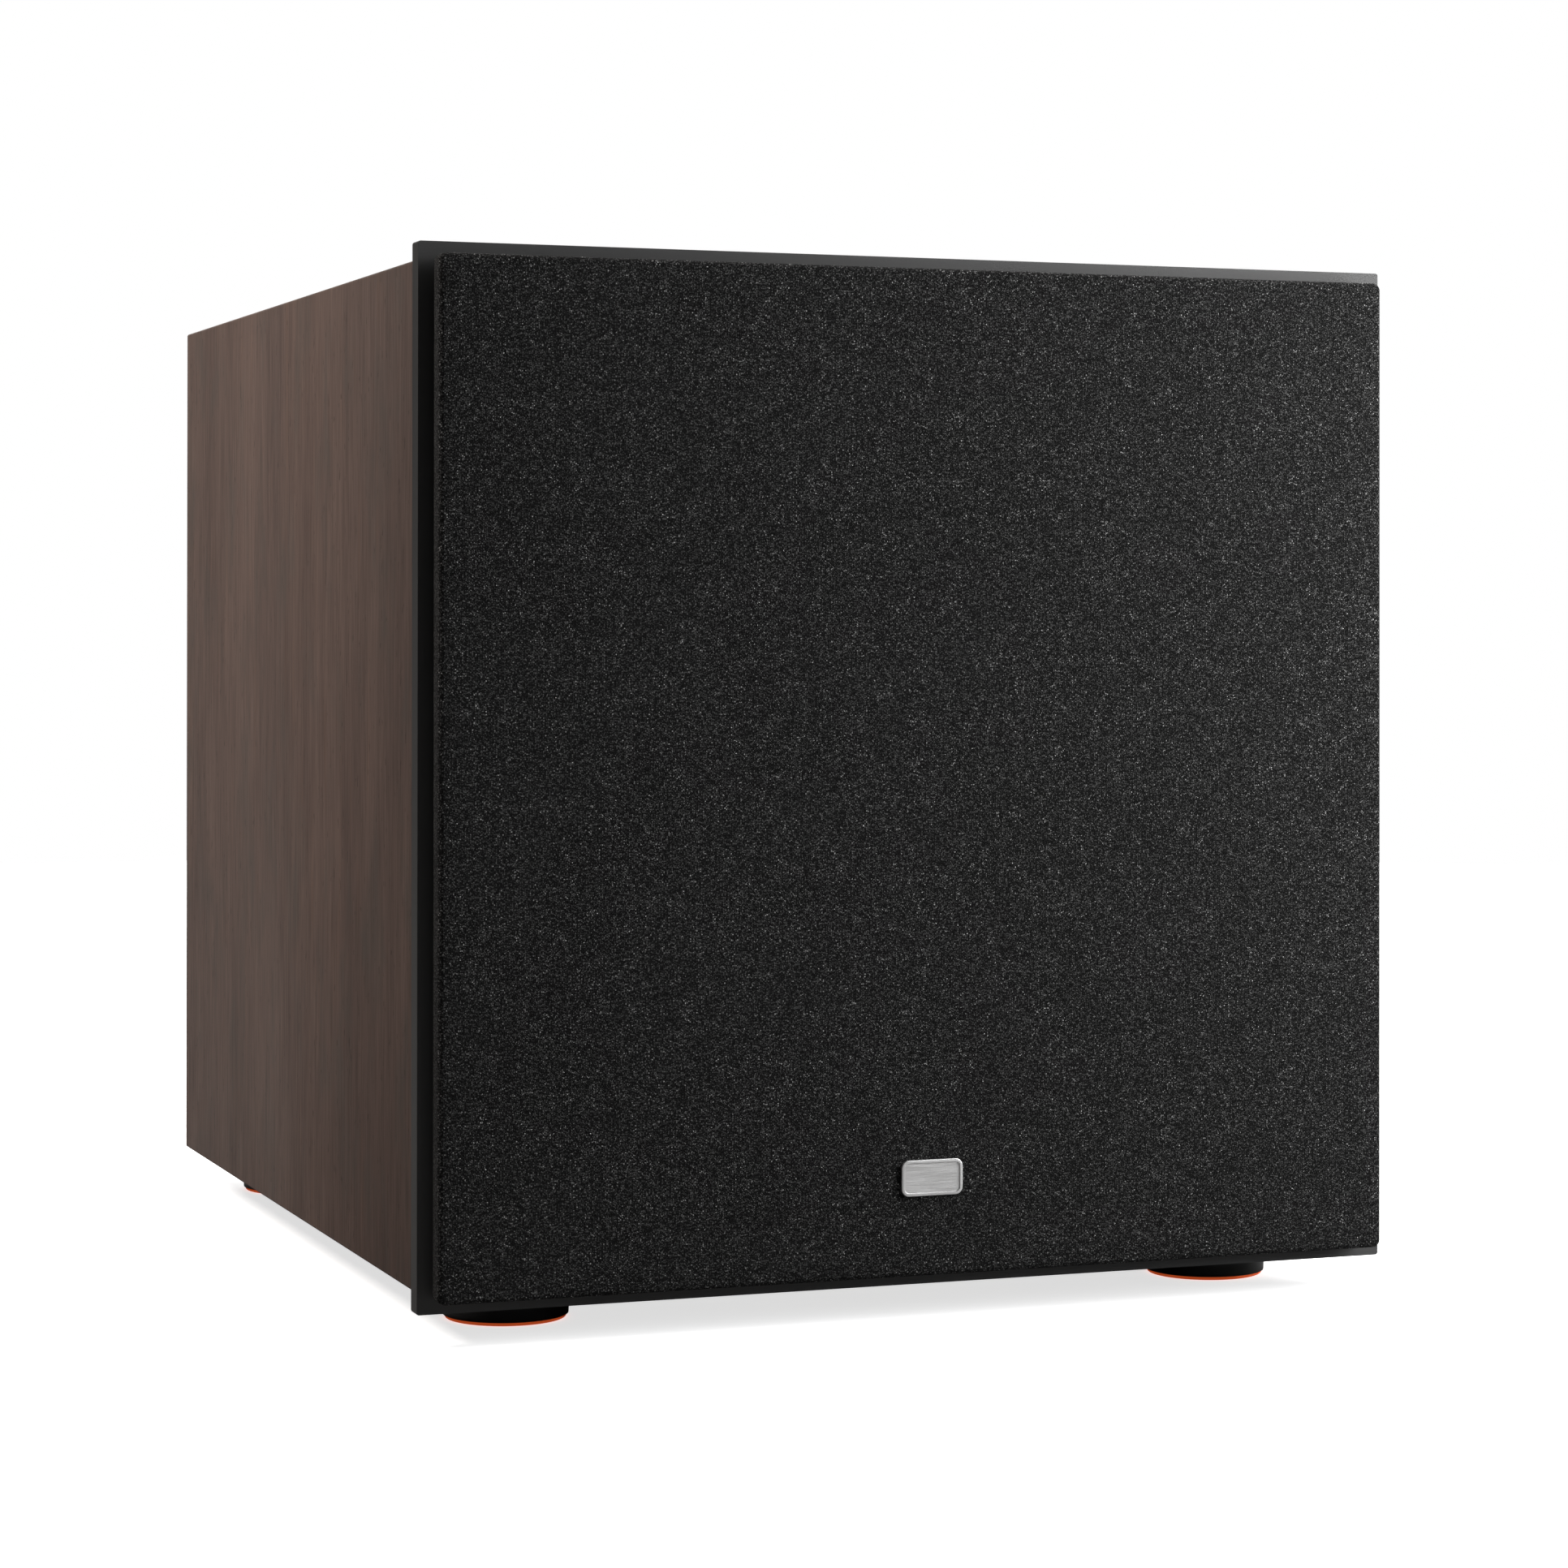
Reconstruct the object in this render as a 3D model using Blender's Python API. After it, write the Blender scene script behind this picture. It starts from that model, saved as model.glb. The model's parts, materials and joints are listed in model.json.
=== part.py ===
"""A powered subwoofer: a wood-wrapped cabinet on four feet, a black front baffle with a pull-off cloth
grille, a 12-inch driver behind it, and a plate amplifier and a port at the back.

Metres, +Z up. The front faces -Y. The origin is on the floor, under the middle of the whole object.
Depths are measured back from the front face of the baffle, and pieces hang from an empty at that face.
"""

import math

import bmesh
import bpy
from mathutils import Matrix, Vector

# Cabinet and baffle
BAFFLE_WIDTH = 0.4000
BAFFLE_HEIGHT = 0.3965
BAFFLE_THICK = 0.0082
BAFFLE_BOTTOM = 0.01245
SIDE_OVERHANG = 0.0050
TOP_OVERHANG = 0.0050
BOTTOM_OVERHANG = 0.0045
CABINET_DEPTH = 0.4367
WALL = 0.015
FRONT_BOARD_THICK = 0.025
WRAP_THICK = 0.0006
CORNER_RADIUS = 0.0010
GAP = 0.0003
PAST = 0.010
BRACE_WIDTH = 0.040
BRACE_THICK = 0.018
BRACE_DEPTH = 0.205
WADDING_THICK = 0.020
WADDING_BOTTOM = 0.060
WADDING_DEPTHS = (0.245, 0.425)

# Grille
GRILLE_MARGIN = 0.0050
GRILLE_STAND_OFF = 0.0044
GRILLE_THICK = 0.0077
GRILLE_RADIUS = 0.0025
CLOTH_THICK = 0.0006
GRILLE_WINDOW_RADIUS = 0.150
PEG_INSET = 0.0190
PEG_RADIUS = 0.0028
PEG_SHOULDER_RADIUS = 0.0055
BADGE_SIZE = (0.0252, 0.0138)
BADGE_RADIUS = 0.0030
BADGE_THICK = 0.0010
BADGE_ABOVE_BAFFLE_BOTTOM = 0.0428

# Feet
FOOT_INSET = 0.0502
FRONT_FOOT_DEPTH = 0.0557
REAR_FOOT_FROM_BACK = 0.0349
FOOT_RADIUS = 0.02475
PAD_RADIUS = 0.02365
PAD_THICK = 0.0015

# Driver. Its radii grow from the axis, and its depths are behind the baffle's front face.
BAFFLE_HOLE_RADIUS = 0.156
REBATE_RADIUS = 0.1565
REBATE_DEPTH = 0.010
BOARD_HOLE_RADIUS = 0.141
FLANGE_RADIUS = 0.153
FLANGE_THICK = 0.005
BASKET_WINDOWS = 10
BASKET_WINDOW_WIDTH = 0.040
BASKET_WINDOW_RADII = (0.088, 0.150)
BASKET_WINDOW_DEPTHS = (0.030, 0.072)
CONE_RADIUS = 0.1115
CONE_LIP_RADIUS = 0.105
CONE_NECK_RADIUS = 0.0263
CONE_DEPTH = 0.049
CONE_THICK = 0.0013
SURROUND_ROLL_RADIUS = 0.010
SURROUND_MID_RADIUS = 0.121
SURROUND_OUTER_RADIUS = 0.1393
SURROUND_THICK = 0.0010
SPIDER_RADIUS = 0.085
SPIDER_DEPTH = 0.0791
SPIDER_WAVES = 3
SPIDER_WAVE_HEIGHT = 0.0022
COIL_RADIUS = 0.0258
COIL_MID_DEPTH = 0.1003
COIL_LENGTH = 0.022
MAGNET_RADIUS = 0.080

# Rear: port and amplifier
PORT_ABOVE_FLOOR = 0.325
PORT_RADIUS = 0.038
PORT_LENGTH = 0.185
PORT_FLANGE_RADIUS = 0.058
PORT_FLARE = 0.014
PORT_HOLE_RADIUS = PORT_RADIUS + PORT_FLARE + 0.0005
PLATE_WIDTH = 0.230
PLATE_HEIGHT = 0.225
PLATE_CENTRE_Z = 0.145
PLATE_THICK = 0.003
PLATE_BORDER = 0.015
GASKET_THICK = 0.0012
KNOB_RADIUS = 0.011
KNOB_HEIGHT = 0.014
LEVEL_KNOB_AT = (0.070, 0.215)
CROSSOVER_KNOB_AT = (0.015, 0.215)
PHASE_SWITCH_AT = (-0.035, 0.226)
MODE_SWITCH_AT = (-0.035, 0.204)
STATUS_LED_AT = (-0.035, 0.182)
JACK_X = -0.082
JACK_HEIGHTS = {"left": 0.226, "right": 0.204}
ROCKER_AT = (0.062, 0.135)
ROCKER_TILT = math.radians(8)
INLET_AT = (0.062, 0.077)
HEATSINK_CENTRE = (-0.052, 0.102)
HEATSINK_SIZE = (0.100, 0.100)
HEATSINK_FINS = 12
HEATSINK_HEIGHT = 0.016
TRANSFORMER_AT = (-0.045, 0.100)
TRANSFORMER_RADIUS = 0.042
TRANSFORMER_LENGTH = 0.040
BOARD_BEHIND_FACE = 0.0126
BOARD_THICK = 0.0016

# Smoothness of round pieces
BIG_STEPS = 48
CONE_STEPS = 36
MID_STEPS = 32
SMALL_STEPS = 24
TINY_STEPS = 16

# Worked out from the dimensions above
CABINET_FRONT = BAFFLE_THICK + GAP
CABINET_BACK = BAFFLE_THICK + CABINET_DEPTH
CABINET_HALF_WIDTH = BAFFLE_WIDTH / 2 - SIDE_OVERHANG
CABINET_BOTTOM = BAFFLE_BOTTOM + BOTTOM_OVERHANG
BAFFLE_TOP = BAFFLE_BOTTOM + BAFFLE_HEIGHT
CABINET_TOP = BAFFLE_TOP - TOP_OVERHANG
BAFFLE_CENTRE_Z = BAFFLE_BOTTOM + BAFFLE_HEIGHT / 2
PANEL_OUTSET = WRAP_THICK + GAP
BOARD_BACK = CABINET_FRONT + FRONT_BOARD_THICK
REAR_PANEL_FRONT = CABINET_BACK - WALL
INNER_HALF_WIDTH = CABINET_HALF_WIDTH - PANEL_OUTSET - WALL
INNER_BOTTOM = CABINET_BOTTOM + PANEL_OUTSET + WALL
INNER_TOP = CABINET_TOP - PANEL_OUTSET - WALL
GRILLE_BACK = -GRILLE_STAND_OFF
GRILLE_FRONT = GRILLE_BACK - GRILLE_THICK
BADGE_FRONT = GRILLE_FRONT - GAP - BADGE_THICK
SEAT_DEPTH = CABINET_FRONT + REBATE_DEPTH - GAP
FLANGE_FRONT = SEAT_DEPTH - FLANGE_THICK
PLATE_FACE = CABINET_BACK + GAP + GASKET_THICK + GAP + PLATE_THICK
PLATE_BACK = PLATE_FACE - PLATE_THICK
CUT_OUT_HALF_WIDTH = PLATE_WIDTH / 2 - PLATE_BORDER
CUT_OUT_HALF_HEIGHT = PLATE_HEIGHT / 2 - PLATE_BORDER
HEATSINK_TIP = PLATE_FACE + GAP + HEATSINK_HEIGHT
TOTAL_DEPTH = HEATSINK_TIP - BADGE_FRONT
BAFFLE_FRONT_Y = -TOTAL_DEPTH / 2 - BADGE_FRONT

# name: (red, green, blue, roughness, metallic)
FINISHES = {
    "wood_wrap": (0.075, 0.052, 0.042, 0.50, 0.0),
    "satin_black": (0.012, 0.012, 0.012, 0.35, 0.0),
    "fibreboard": (0.42, 0.28, 0.16, 0.85, 0.0),
    "wadding": (0.72, 0.72, 0.68, 1.00, 0.0),
    "black_plastic": (0.014, 0.014, 0.015, 0.45, 0.0),
    "orange_rubber": (0.55, 0.09, 0.03, 0.55, 0.0),
    "grille_cloth": (0.022, 0.022, 0.022, 0.90, 0.0),
    "badge_metal": (0.60, 0.60, 0.60, 0.35, 1.0),
    "black_rubber": (0.010, 0.010, 0.010, 0.70, 0.0),
    "cast_frame": (0.020, 0.020, 0.022, 0.45, 0.6),
    "cone_fibre": (0.025, 0.025, 0.027, 0.60, 0.0),
    "plated_steel": (0.55, 0.55, 0.56, 0.35, 1.0),
    "ferrite": (0.035, 0.034, 0.034, 0.70, 0.0),
    "copper": (0.70, 0.28, 0.14, 0.35, 1.0),
    "spider_cloth": (0.45, 0.26, 0.08, 0.90, 0.0),
    "amp_black": (0.015, 0.015, 0.016, 0.50, 0.3),
    "circuit_green": (0.02, 0.14, 0.06, 0.50, 0.0),
    "winding_tape": (0.55, 0.38, 0.05, 0.40, 0.0),
    "nickel": (0.62, 0.60, 0.55, 0.25, 1.0),
    "led_lens": (0.05, 0.45, 0.12, 0.20, 0.0),
    "lead_sheath": (0.30, 0.02, 0.02, 0.45, 0.0),
}


def clear_scene():
    for old in list(bpy.data.objects):
        bpy.data.objects.remove(old)


def finish_of(name):
    """The material with this finish, made once."""
    found = bpy.data.materials.get(name)
    if found:
        return found
    red, green, blue, roughness, metallic = FINISHES[name]
    made = bpy.data.materials.new(name)
    made.use_nodes = True
    shader = made.node_tree.nodes["Principled BSDF"]
    shader.inputs["Base Color"].default_value = (red, green, blue, 1)
    shader.inputs["Roughness"].default_value = roughness
    shader.inputs["Metallic"].default_value = metallic
    made.diffuse_color = (red, green, blue, 1)
    return made


def empty(name, at, parent=None):
    made = bpy.data.objects.new(name, None)
    made.location = at
    made.parent = parent
    bpy.context.scene.collection.objects.link(made)
    return made


def solid(name, mesh_maker, finish, at, parent):
    """A named piece from a bmesh. Without a finish it is a cutter or a shape to join, and not rendered."""
    mesh = bpy.data.meshes.new(name)
    bmesh.ops.recalc_face_normals(mesh_maker, faces=mesh_maker.faces)
    mesh_maker.to_mesh(mesh)
    mesh_maker.free()
    piece = bpy.data.objects.new(name, mesh)
    piece.location = at
    piece.parent = parent
    bpy.context.scene.collection.objects.link(piece)
    if finish:
        mesh.materials.append(finish_of(finish))
    else:
        piece.hide_render = True
        piece.display_type = "WIRE"
    return piece


def block(name, low, high, finish, parent, bevel=0.0):
    """A box between two corners, with its origin in its middle."""
    low, high = Vector(low), Vector(high)
    maker = bmesh.new()
    bmesh.ops.create_cube(maker, size=1, matrix=Matrix.Diagonal((*(high - low), 1)))
    piece = solid(name, maker, finish, (low + high) / 2, parent)
    if bevel:
        add_bevel(piece, bevel)
    return piece


def add_bevel(piece, width, segments=1):
    rounding = piece.modifiers.new("edges", "BEVEL")
    rounding.width = width
    rounding.segments = segments


def turned(name, outline, steps, finish, at, parent, axis="Y"):
    """A closed outline of (radius, distance along the axis), turned about that axis through the piece's
    origin. Points on the axis become one vertex, and the edge between two of them makes no face."""
    maker = bmesh.new()
    rings = []
    for radius, along in outline:
        corners = []
        for step in range(steps if radius else 1):
            angle = 2 * math.pi * step / steps
            across, up = radius * math.cos(angle), radius * math.sin(angle)
            place = (across, along, up) if axis == "Y" else (across, up, along)
            corners.append(maker.verts.new(place))
        rings.append(corners)
    for first, second in zip(rings, rings[1:] + rings[:1]):
        if len(first) == len(second) == 1:
            continue
        for step in range(steps):
            after = step + 1
            face = [first[step % len(first)], first[after % len(first)]]
            face += [second[after % len(second)], second[step % len(second)]]
            maker.faces.new(list(dict.fromkeys(face)))
    piece = solid(name, maker, finish, at, parent)
    piece.data.shade_smooth()
    piece.data.set_sharp_from_angle(angle=math.radians(40))
    return piece


def rounded_rectangle(width, height, radius, steps=3):
    """Points of a rectangle about (0, 0), with an arc at each corner."""
    points = []
    for quarter, (side, end) in enumerate(((1, 1), (-1, 1), (-1, -1), (1, -1))):
        middle = (side * (width / 2 - radius), end * (height / 2 - radius))
        for step in range(steps + 1):
            angle = math.pi / 2 * (quarter + step / steps)
            points.append((middle[0] + radius * math.cos(angle), middle[1] + radius * math.sin(angle)))
    return points


def lofted(name, loops, finish, at, parent, axis="Y", closed=False):
    """Skins a row of (outline, distance along the axis), all with as many points. The ends are filled,
    or, if closed, the last is joined to the first."""
    maker = bmesh.new()
    rings = []
    for outline, along in loops:
        places = {
            "X": [(along, a, b) for a, b in outline],
            "Y": [(a, along, b) for a, b in outline],
            "Z": [(a, b, along) for a, b in outline],
        }[axis]
        rings.append([maker.verts.new(place) for place in places])
    pairs = list(zip(rings, rings[1:]))
    if closed:
        pairs.append((rings[-1], rings[0]))
    else:
        maker.faces.new(rings[0])
        maker.faces.new(rings[-1])
    for first, second in pairs:
        for here in range(len(first)):
            after = (here + 1) % len(first)
            maker.faces.new((first[here], first[after], second[after], second[here]))
    return solid(name, maker, finish, at, parent)


def frame_shape(name, outer, inner, low, high, finish, at, parent):
    """A rectangular frame: two outlines with as many points, between two depths."""
    loops = [(outer, low), (outer, high), (inner, high), (inner, low)]
    return lofted(name, loops, finish, at, parent, closed=True)


def change(piece, tool, operation):
    step = piece.modifiers.new(tool.name, "BOOLEAN")
    step.operation = operation
    step.object = tool


def cut(piece, *cutters):
    for cutter in cutters:
        change(piece, cutter, "DIFFERENCE")


def join(piece, *additions):
    for addition in additions:
        change(piece, addition, "UNION")


def drill(name, radius, low, high, at, parent, steps=SMALL_STEPS):
    """A round cutter along Y between two depths, at (x, z)."""
    outline = [(0, low), (radius, low), (radius, high), (0, high)]
    return turned(name, outline, steps, None, (at[0], 0, at[1]), parent)


def block_at(name, at, size, low, high, finish, parent, bevel=0.0):
    """A box of size (x, z) centred on (x, z) = at, between two depths."""
    half_width, half_height = size[0] / 2, size[1] / 2
    corner = (at[0] - half_width, low, at[1] - half_height)
    opposite = (at[0] + half_width, high, at[1] + half_height)
    return block(name, corner, opposite, finish, parent, bevel)


def make_cabinet(front):
    """The wrapped box: six boards, two braces, the wadding and the wrap around them."""
    board_half = CABINET_HALF_WIDTH - PANEL_OUTSET
    low_z, high_z = CABINET_BOTTOM + PANEL_OUTSET, CABINET_TOP - PANEL_OUTSET
    low_y, high_y = BOARD_BACK + GAP, REAR_PANEL_FRONT - GAP
    for side, name in ((-1, "side_panel_left"), (1, "side_panel_right")):
        sides = sorted((side * board_half, side * INNER_HALF_WIDTH))
        block(name, (sides[0], low_y, low_z), (sides[1], high_y, high_z), "fibreboard", front)
    across = INNER_HALF_WIDTH - GAP
    block("top_panel", (-across, low_y, INNER_TOP), (across, high_y, high_z), "fibreboard", front)
    block("bottom_panel", (-across, low_y, low_z), (across, high_y, INNER_BOTTOM), "fibreboard", front)

    width, height = 2 * CABINET_HALF_WIDTH, CABINET_TOP - CABINET_BOTTOM
    middle = (0, 0, (CABINET_TOP + CABINET_BOTTOM) / 2)
    outer = rounded_rectangle(width, height, CORNER_RADIUS)
    inside_radius = CORNER_RADIUS - WRAP_THICK
    inner = rounded_rectangle(width - 2 * WRAP_THICK, height - 2 * WRAP_THICK, inside_radius)
    frame_shape("wood_wrap", outer, inner, CABINET_FRONT, CABINET_BACK, "wood_wrap", middle, front)

    board_low, board_high = (-board_half, CABINET_FRONT, low_z), (board_half, BOARD_BACK, high_z)
    board = block("front_board", board_low, board_high, "fibreboard", front)
    centre = (0, BAFFLE_CENTRE_Z)
    rebate_floor = CABINET_FRONT + REBATE_DEPTH
    cut(
        board,
        drill("rebate_cutter", REBATE_RADIUS, 0, rebate_floor, centre, front, BIG_STEPS),
        drill("board_hole_cutter", BOARD_HOLE_RADIUS, 0, BOARD_BACK + PAST, centre, front, BIG_STEPS),
    )

    rear = block(
        "rear_panel",
        (-board_half, REAR_PANEL_FRONT, low_z),
        (board_half, CABINET_BACK, high_z),
        "wood_wrap",
        front,
    )
    cut_out = (2 * CUT_OUT_HALF_WIDTH, 2 * CUT_OUT_HALF_HEIGHT)
    low_cut, high_cut = REAR_PANEL_FRONT - PAST, CABINET_BACK + PAST
    cut(
        rear,
        block_at("amp_cutter", (0, PLATE_CENTRE_Z), cut_out, low_cut, high_cut, None, front),
        drill("port_cutter", PORT_HOLE_RADIUS, low_cut, high_cut, (0, PORT_ABOVE_FLOOR), front, MID_STEPS),
    )

    half_brace = BRACE_WIDTH / 2
    brace_back = BRACE_DEPTH + BRACE_THICK
    block(
        "side_to_side_brace",
        (-across, BRACE_DEPTH, BAFFLE_CENTRE_Z - half_brace),
        (across, brace_back, BAFFLE_CENTRE_Z + half_brace),
        "fibreboard",
        front,
    )
    block(
        "top_to_bottom_brace",
        (-half_brace, brace_back + GAP, INNER_BOTTOM + GAP),
        (half_brace, brace_back + GAP + BRACE_THICK, INNER_TOP - GAP),
        "fibreboard",
        front,
    )
    make_wadding(front)


def make_wadding(front):
    """One sheet of wadding, folded along the left wall, the top and the right wall."""
    outer_x, outer_z = INNER_HALF_WIDTH - GAP, INNER_TOP - GAP
    inner_x, inner_z = outer_x - WADDING_THICK, outer_z - WADDING_THICK
    outline = [
        (-outer_x, WADDING_BOTTOM),
        (-inner_x, WADDING_BOTTOM),
        (-inner_x, inner_z),
        (inner_x, inner_z),
        (inner_x, WADDING_BOTTOM),
        (outer_x, WADDING_BOTTOM),
        (outer_x, outer_z),
        (-outer_x, outer_z),
    ]
    loops = [(outline, depth) for depth in WADDING_DEPTHS]
    lofted("damping_wadding", loops, "wadding", (0, 0, 0), front)


def corner_places():
    """(name, x, z) of the grille's four pegs."""
    reach_x = BAFFLE_WIDTH / 2 - PEG_INSET
    reach_z = BAFFLE_HEIGHT / 2 - PEG_INSET
    places = []
    for end, end_name in ((-1, "bottom"), (1, "top")):
        for side, side_name in ((-1, "left"), (1, "right")):
            places.append((f"{end_name}_{side_name}", side * reach_x, BAFFLE_CENTRE_Z + end * reach_z))
    return places


def make_baffle(front):
    """The black front plate with its round opening, and a rubber socket for each grille peg."""
    outline = rounded_rectangle(BAFFLE_WIDTH, BAFFLE_HEIGHT, CORNER_RADIUS)
    middle = (0, 0, BAFFLE_CENTRE_Z)
    plate = lofted("front_baffle", [(outline, 0), (outline, BAFFLE_THICK)], "satin_black", middle, front)
    low_cut, high_cut = -PAST, BAFFLE_THICK + PAST
    centre = (0, BAFFLE_CENTRE_Z)
    cut(plate, drill("baffle_cutter", BAFFLE_HOLE_RADIUS, low_cut, high_cut, centre, front, BIG_STEPS))
    barrel, bore, collar = 0.0050, PEG_RADIUS + GAP, 0.0075
    collar_front = -0.0012
    socket = [
        (bore, collar_front),
        (collar, collar_front),
        (collar, -GAP),
        (barrel, -GAP),
        (barrel, BAFFLE_THICK - 2 * GAP),
        (bore, BAFFLE_THICK - 2 * GAP),
    ]
    for name, x, z in corner_places():
        cut(plate, drill(f"{name}_cutter", barrel + GAP, low_cut, high_cut, (x, z), front, TINY_STEPS))
        turned(f"grille_socket_{name}", socket, TINY_STEPS, "black_rubber", (x, 0, z), front)


def make_grille(front):
    """Everything that pulls off the front: the frame with its pegs, the cloth over it, and the badge."""
    grille = empty("grille", (0, 0, BAFFLE_CENTRE_Z), front)
    width = BAFFLE_WIDTH - 2 * GRILLE_MARGIN
    height = BAFFLE_HEIGHT - 2 * GRILLE_MARGIN

    def outline(inset):
        radius = max(GRILLE_RADIUS - inset, 0.0008)
        return rounded_rectangle(width - 2 * inset, height - 2 * inset, radius)

    inner_front = GRILLE_FRONT + CLOTH_THICK
    edge = 0.0015
    cloth = [
        (outline(CLOTH_THICK), inner_front),
        (outline(CLOTH_THICK), GRILLE_BACK),
        (outline(0), GRILLE_BACK),
        (outline(0), GRILLE_FRONT + edge),
        (outline(0.3 * edge), GRILLE_FRONT + 0.3 * edge),
        (outline(edge), GRILLE_FRONT),
    ]
    lofted("grille_cloth", cloth, "grille_cloth", (0, 0, 0), grille)

    frame_front = inner_front + GAP
    shape = outline(CLOTH_THICK + GAP)
    frame = lofted(
        "grille_frame", [(shape, frame_front), (shape, GRILLE_BACK)], "black_plastic", (0, 0, 0), grille
    )
    low_cut, high_cut = GRILLE_FRONT - PAST, PAST
    cut(frame, drill("grille_cutter", GRILLE_WINDOW_RADIUS, low_cut, high_cut, (0, 0), grille, BIG_STEPS))
    shoulder_end, tip, chamfer = -0.0015, 0.0065, 0.0008
    peg = [
        (0, GRILLE_BACK - 0.001),
        (PEG_SHOULDER_RADIUS, GRILLE_BACK - 0.001),
        (PEG_SHOULDER_RADIUS, shoulder_end),
        (PEG_RADIUS, shoulder_end),
        (PEG_RADIUS, tip - chamfer),
        (PEG_RADIUS - chamfer, tip),
        (0, tip),
    ]
    for name, x, z in corner_places():
        join(frame, turned(f"{name}_peg", peg, TINY_STEPS, None, (x, 0, z - BAFFLE_CENTRE_Z), grille))

    plate = rounded_rectangle(*BADGE_SIZE, BADGE_RADIUS)
    badge_back = GRILLE_FRONT - GAP
    place = (0, 0, BAFFLE_BOTTOM + BADGE_ABOVE_BAFFLE_BOTTOM - BAFFLE_CENTRE_Z)
    lofted("badge", [(plate, badge_back), (plate, BADGE_FRONT)], "badge_metal", place, grille)


def make_feet(front):
    """Four turned feet with a recess for their screw, each on a soft ring."""
    height = CABINET_BOTTOM - GAP
    bottom = PAD_THICK + GAP
    shoulder = bottom + 0.0048
    recess, recess_top = 0.0085, 0.0100
    foot = [
        (FOOT_RADIUS, height),
        (FOOT_RADIUS, shoulder),
        (FOOT_RADIUS - 0.0003, bottom + 0.0025),
        (PAD_RADIUS + 0.0001, bottom),
        (recess, bottom),
        (recess, recess_top),
        (0, recess_top),
        (0, height),
    ]
    pad_hole = 0.0120
    pad = [
        (PAD_RADIUS, PAD_THICK),
        (PAD_RADIUS, 0.0003),
        (PAD_RADIUS - 0.0003, 0),
        (pad_hole, 0),
        (pad_hole, PAD_THICK),
    ]
    across = BAFFLE_WIDTH / 2 - FOOT_INSET
    rows = (("front", FRONT_FOOT_DEPTH), ("rear", CABINET_BACK - REAR_FOOT_FROM_BACK))
    for row, depth in rows:
        for side, name in ((-1, "left"), (1, "right")):
            at = (side * across, depth, 0)
            turned(f"foot_{row}_{name}", foot, SMALL_STEPS, "black_plastic", at, front, axis="Z")
            turned(f"foot_pad_{row}_{name}", pad, SMALL_STEPS, "orange_rubber", at, front, axis="Z")


def make_driver_frame(driver):
    """The driver's fixed half: basket, gasket, top plate, magnet, yoke and terminal block."""
    wall_top, wall_foot = (0.1395, SEAT_DEPTH), (0.086, 0.090)
    base_back, base_front = 0.096, 0.092
    shelf = SPIDER_DEPTH + 0.0009
    basket_outline = [
        (FLANGE_RADIUS, FLANGE_FRONT),
        (FLANGE_RADIUS, SEAT_DEPTH),
        wall_top,
        wall_foot,
        (0.084, base_back),
        (0.030, base_back),
        (0.030, base_front),
        (0.069, base_front),
        (0.069, shelf),
        (0.088, shelf),
        (0.131, 0.022),
        (0.128, 0.017),
        (0.128, FLANGE_FRONT),
    ]
    basket = turned("woofer_basket", basket_outline, BIG_STEPS, "cast_frame", (0, 0, 0), driver)
    half = BASKET_WINDOW_WIDTH / 2
    for number in range(BASKET_WINDOWS):
        low = (BASKET_WINDOW_RADII[0], BASKET_WINDOW_DEPTHS[0], -half)
        high = (BASKET_WINDOW_RADII[1], BASKET_WINDOW_DEPTHS[1], half)
        cutter = block(f"window_cutter_{number}", low, high, None, driver)
        cutter.data.transform(Matrix.Translation(cutter.location))
        cutter.location = (0, 0, 0)
        cutter.rotation_euler = (0, 2 * math.pi * (number + 0.5) / BASKET_WINDOWS, 0)
        cut(basket, cutter)

    gasket_back, gasket_front = FLANGE_FRONT - GAP, FLANGE_FRONT - GAP - 0.0020
    gasket = [
        (SURROUND_OUTER_RADIUS + 0.0005, gasket_back),
        (SURROUND_OUTER_RADIUS + 0.0005, gasket_front),
        (FLANGE_RADIUS - 0.0015, gasket_front),
        (FLANGE_RADIUS - 0.0005, gasket_back),
    ]
    turned("woofer_gasket", gasket, BIG_STEPS, "black_rubber", (0, 0, 0), driver)

    plate_front = base_back + GAP
    plate_back = plate_front + 0.008
    magnet_back = plate_back + GAP + 0.020
    yoke_front = magnet_back + GAP
    ring = [(0.0282, plate_front), (0.070, plate_front), (0.070, plate_back), (0.0282, plate_back)]
    turned("top_plate", ring, SMALL_STEPS, "plated_steel", (0, 0, 0), driver)
    magnet = [
        (0.040, plate_back + GAP),
        (MAGNET_RADIUS, plate_back + GAP),
        (MAGNET_RADIUS, magnet_back),
        (0.040, magnet_back),
    ]
    turned("ring_magnet", magnet, SMALL_STEPS, "ferrite", (0, 0, 0), driver)
    vent, pole = 0.008, 0.0246
    yoke = [
        (vent, plate_front + 0.0005),
        (pole, plate_front + 0.0005),
        (pole, yoke_front),
        (0.072, yoke_front),
        (0.072, yoke_front + 0.005),
        (0.068, yoke_front + 0.008),
        (vent, yoke_front + 0.008),
    ]
    turned("yoke", yoke, SMALL_STEPS, "plated_steel", (0, 0, 0), driver)

    slope = math.atan2(wall_foot[1] - wall_top[1], wall_top[0] - wall_foot[0])
    radius = (wall_top[0] + wall_foot[0]) / 2
    depth = (wall_top[1] + wall_foot[1]) / 2
    out = Vector((0, math.cos(slope), -math.sin(slope)))
    size = Vector((0.024, 0.016, 0.006))
    terminal = block("woofer_terminal", -size / 2, size / 2, "black_plastic", driver, bevel=0.0006)
    terminal.location = Vector((0, depth, -radius)) + out * (size.z / 2 + 2 * GAP)
    terminal.rotation_euler = (math.pi / 2 - slope + math.pi, 0, 0)


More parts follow.
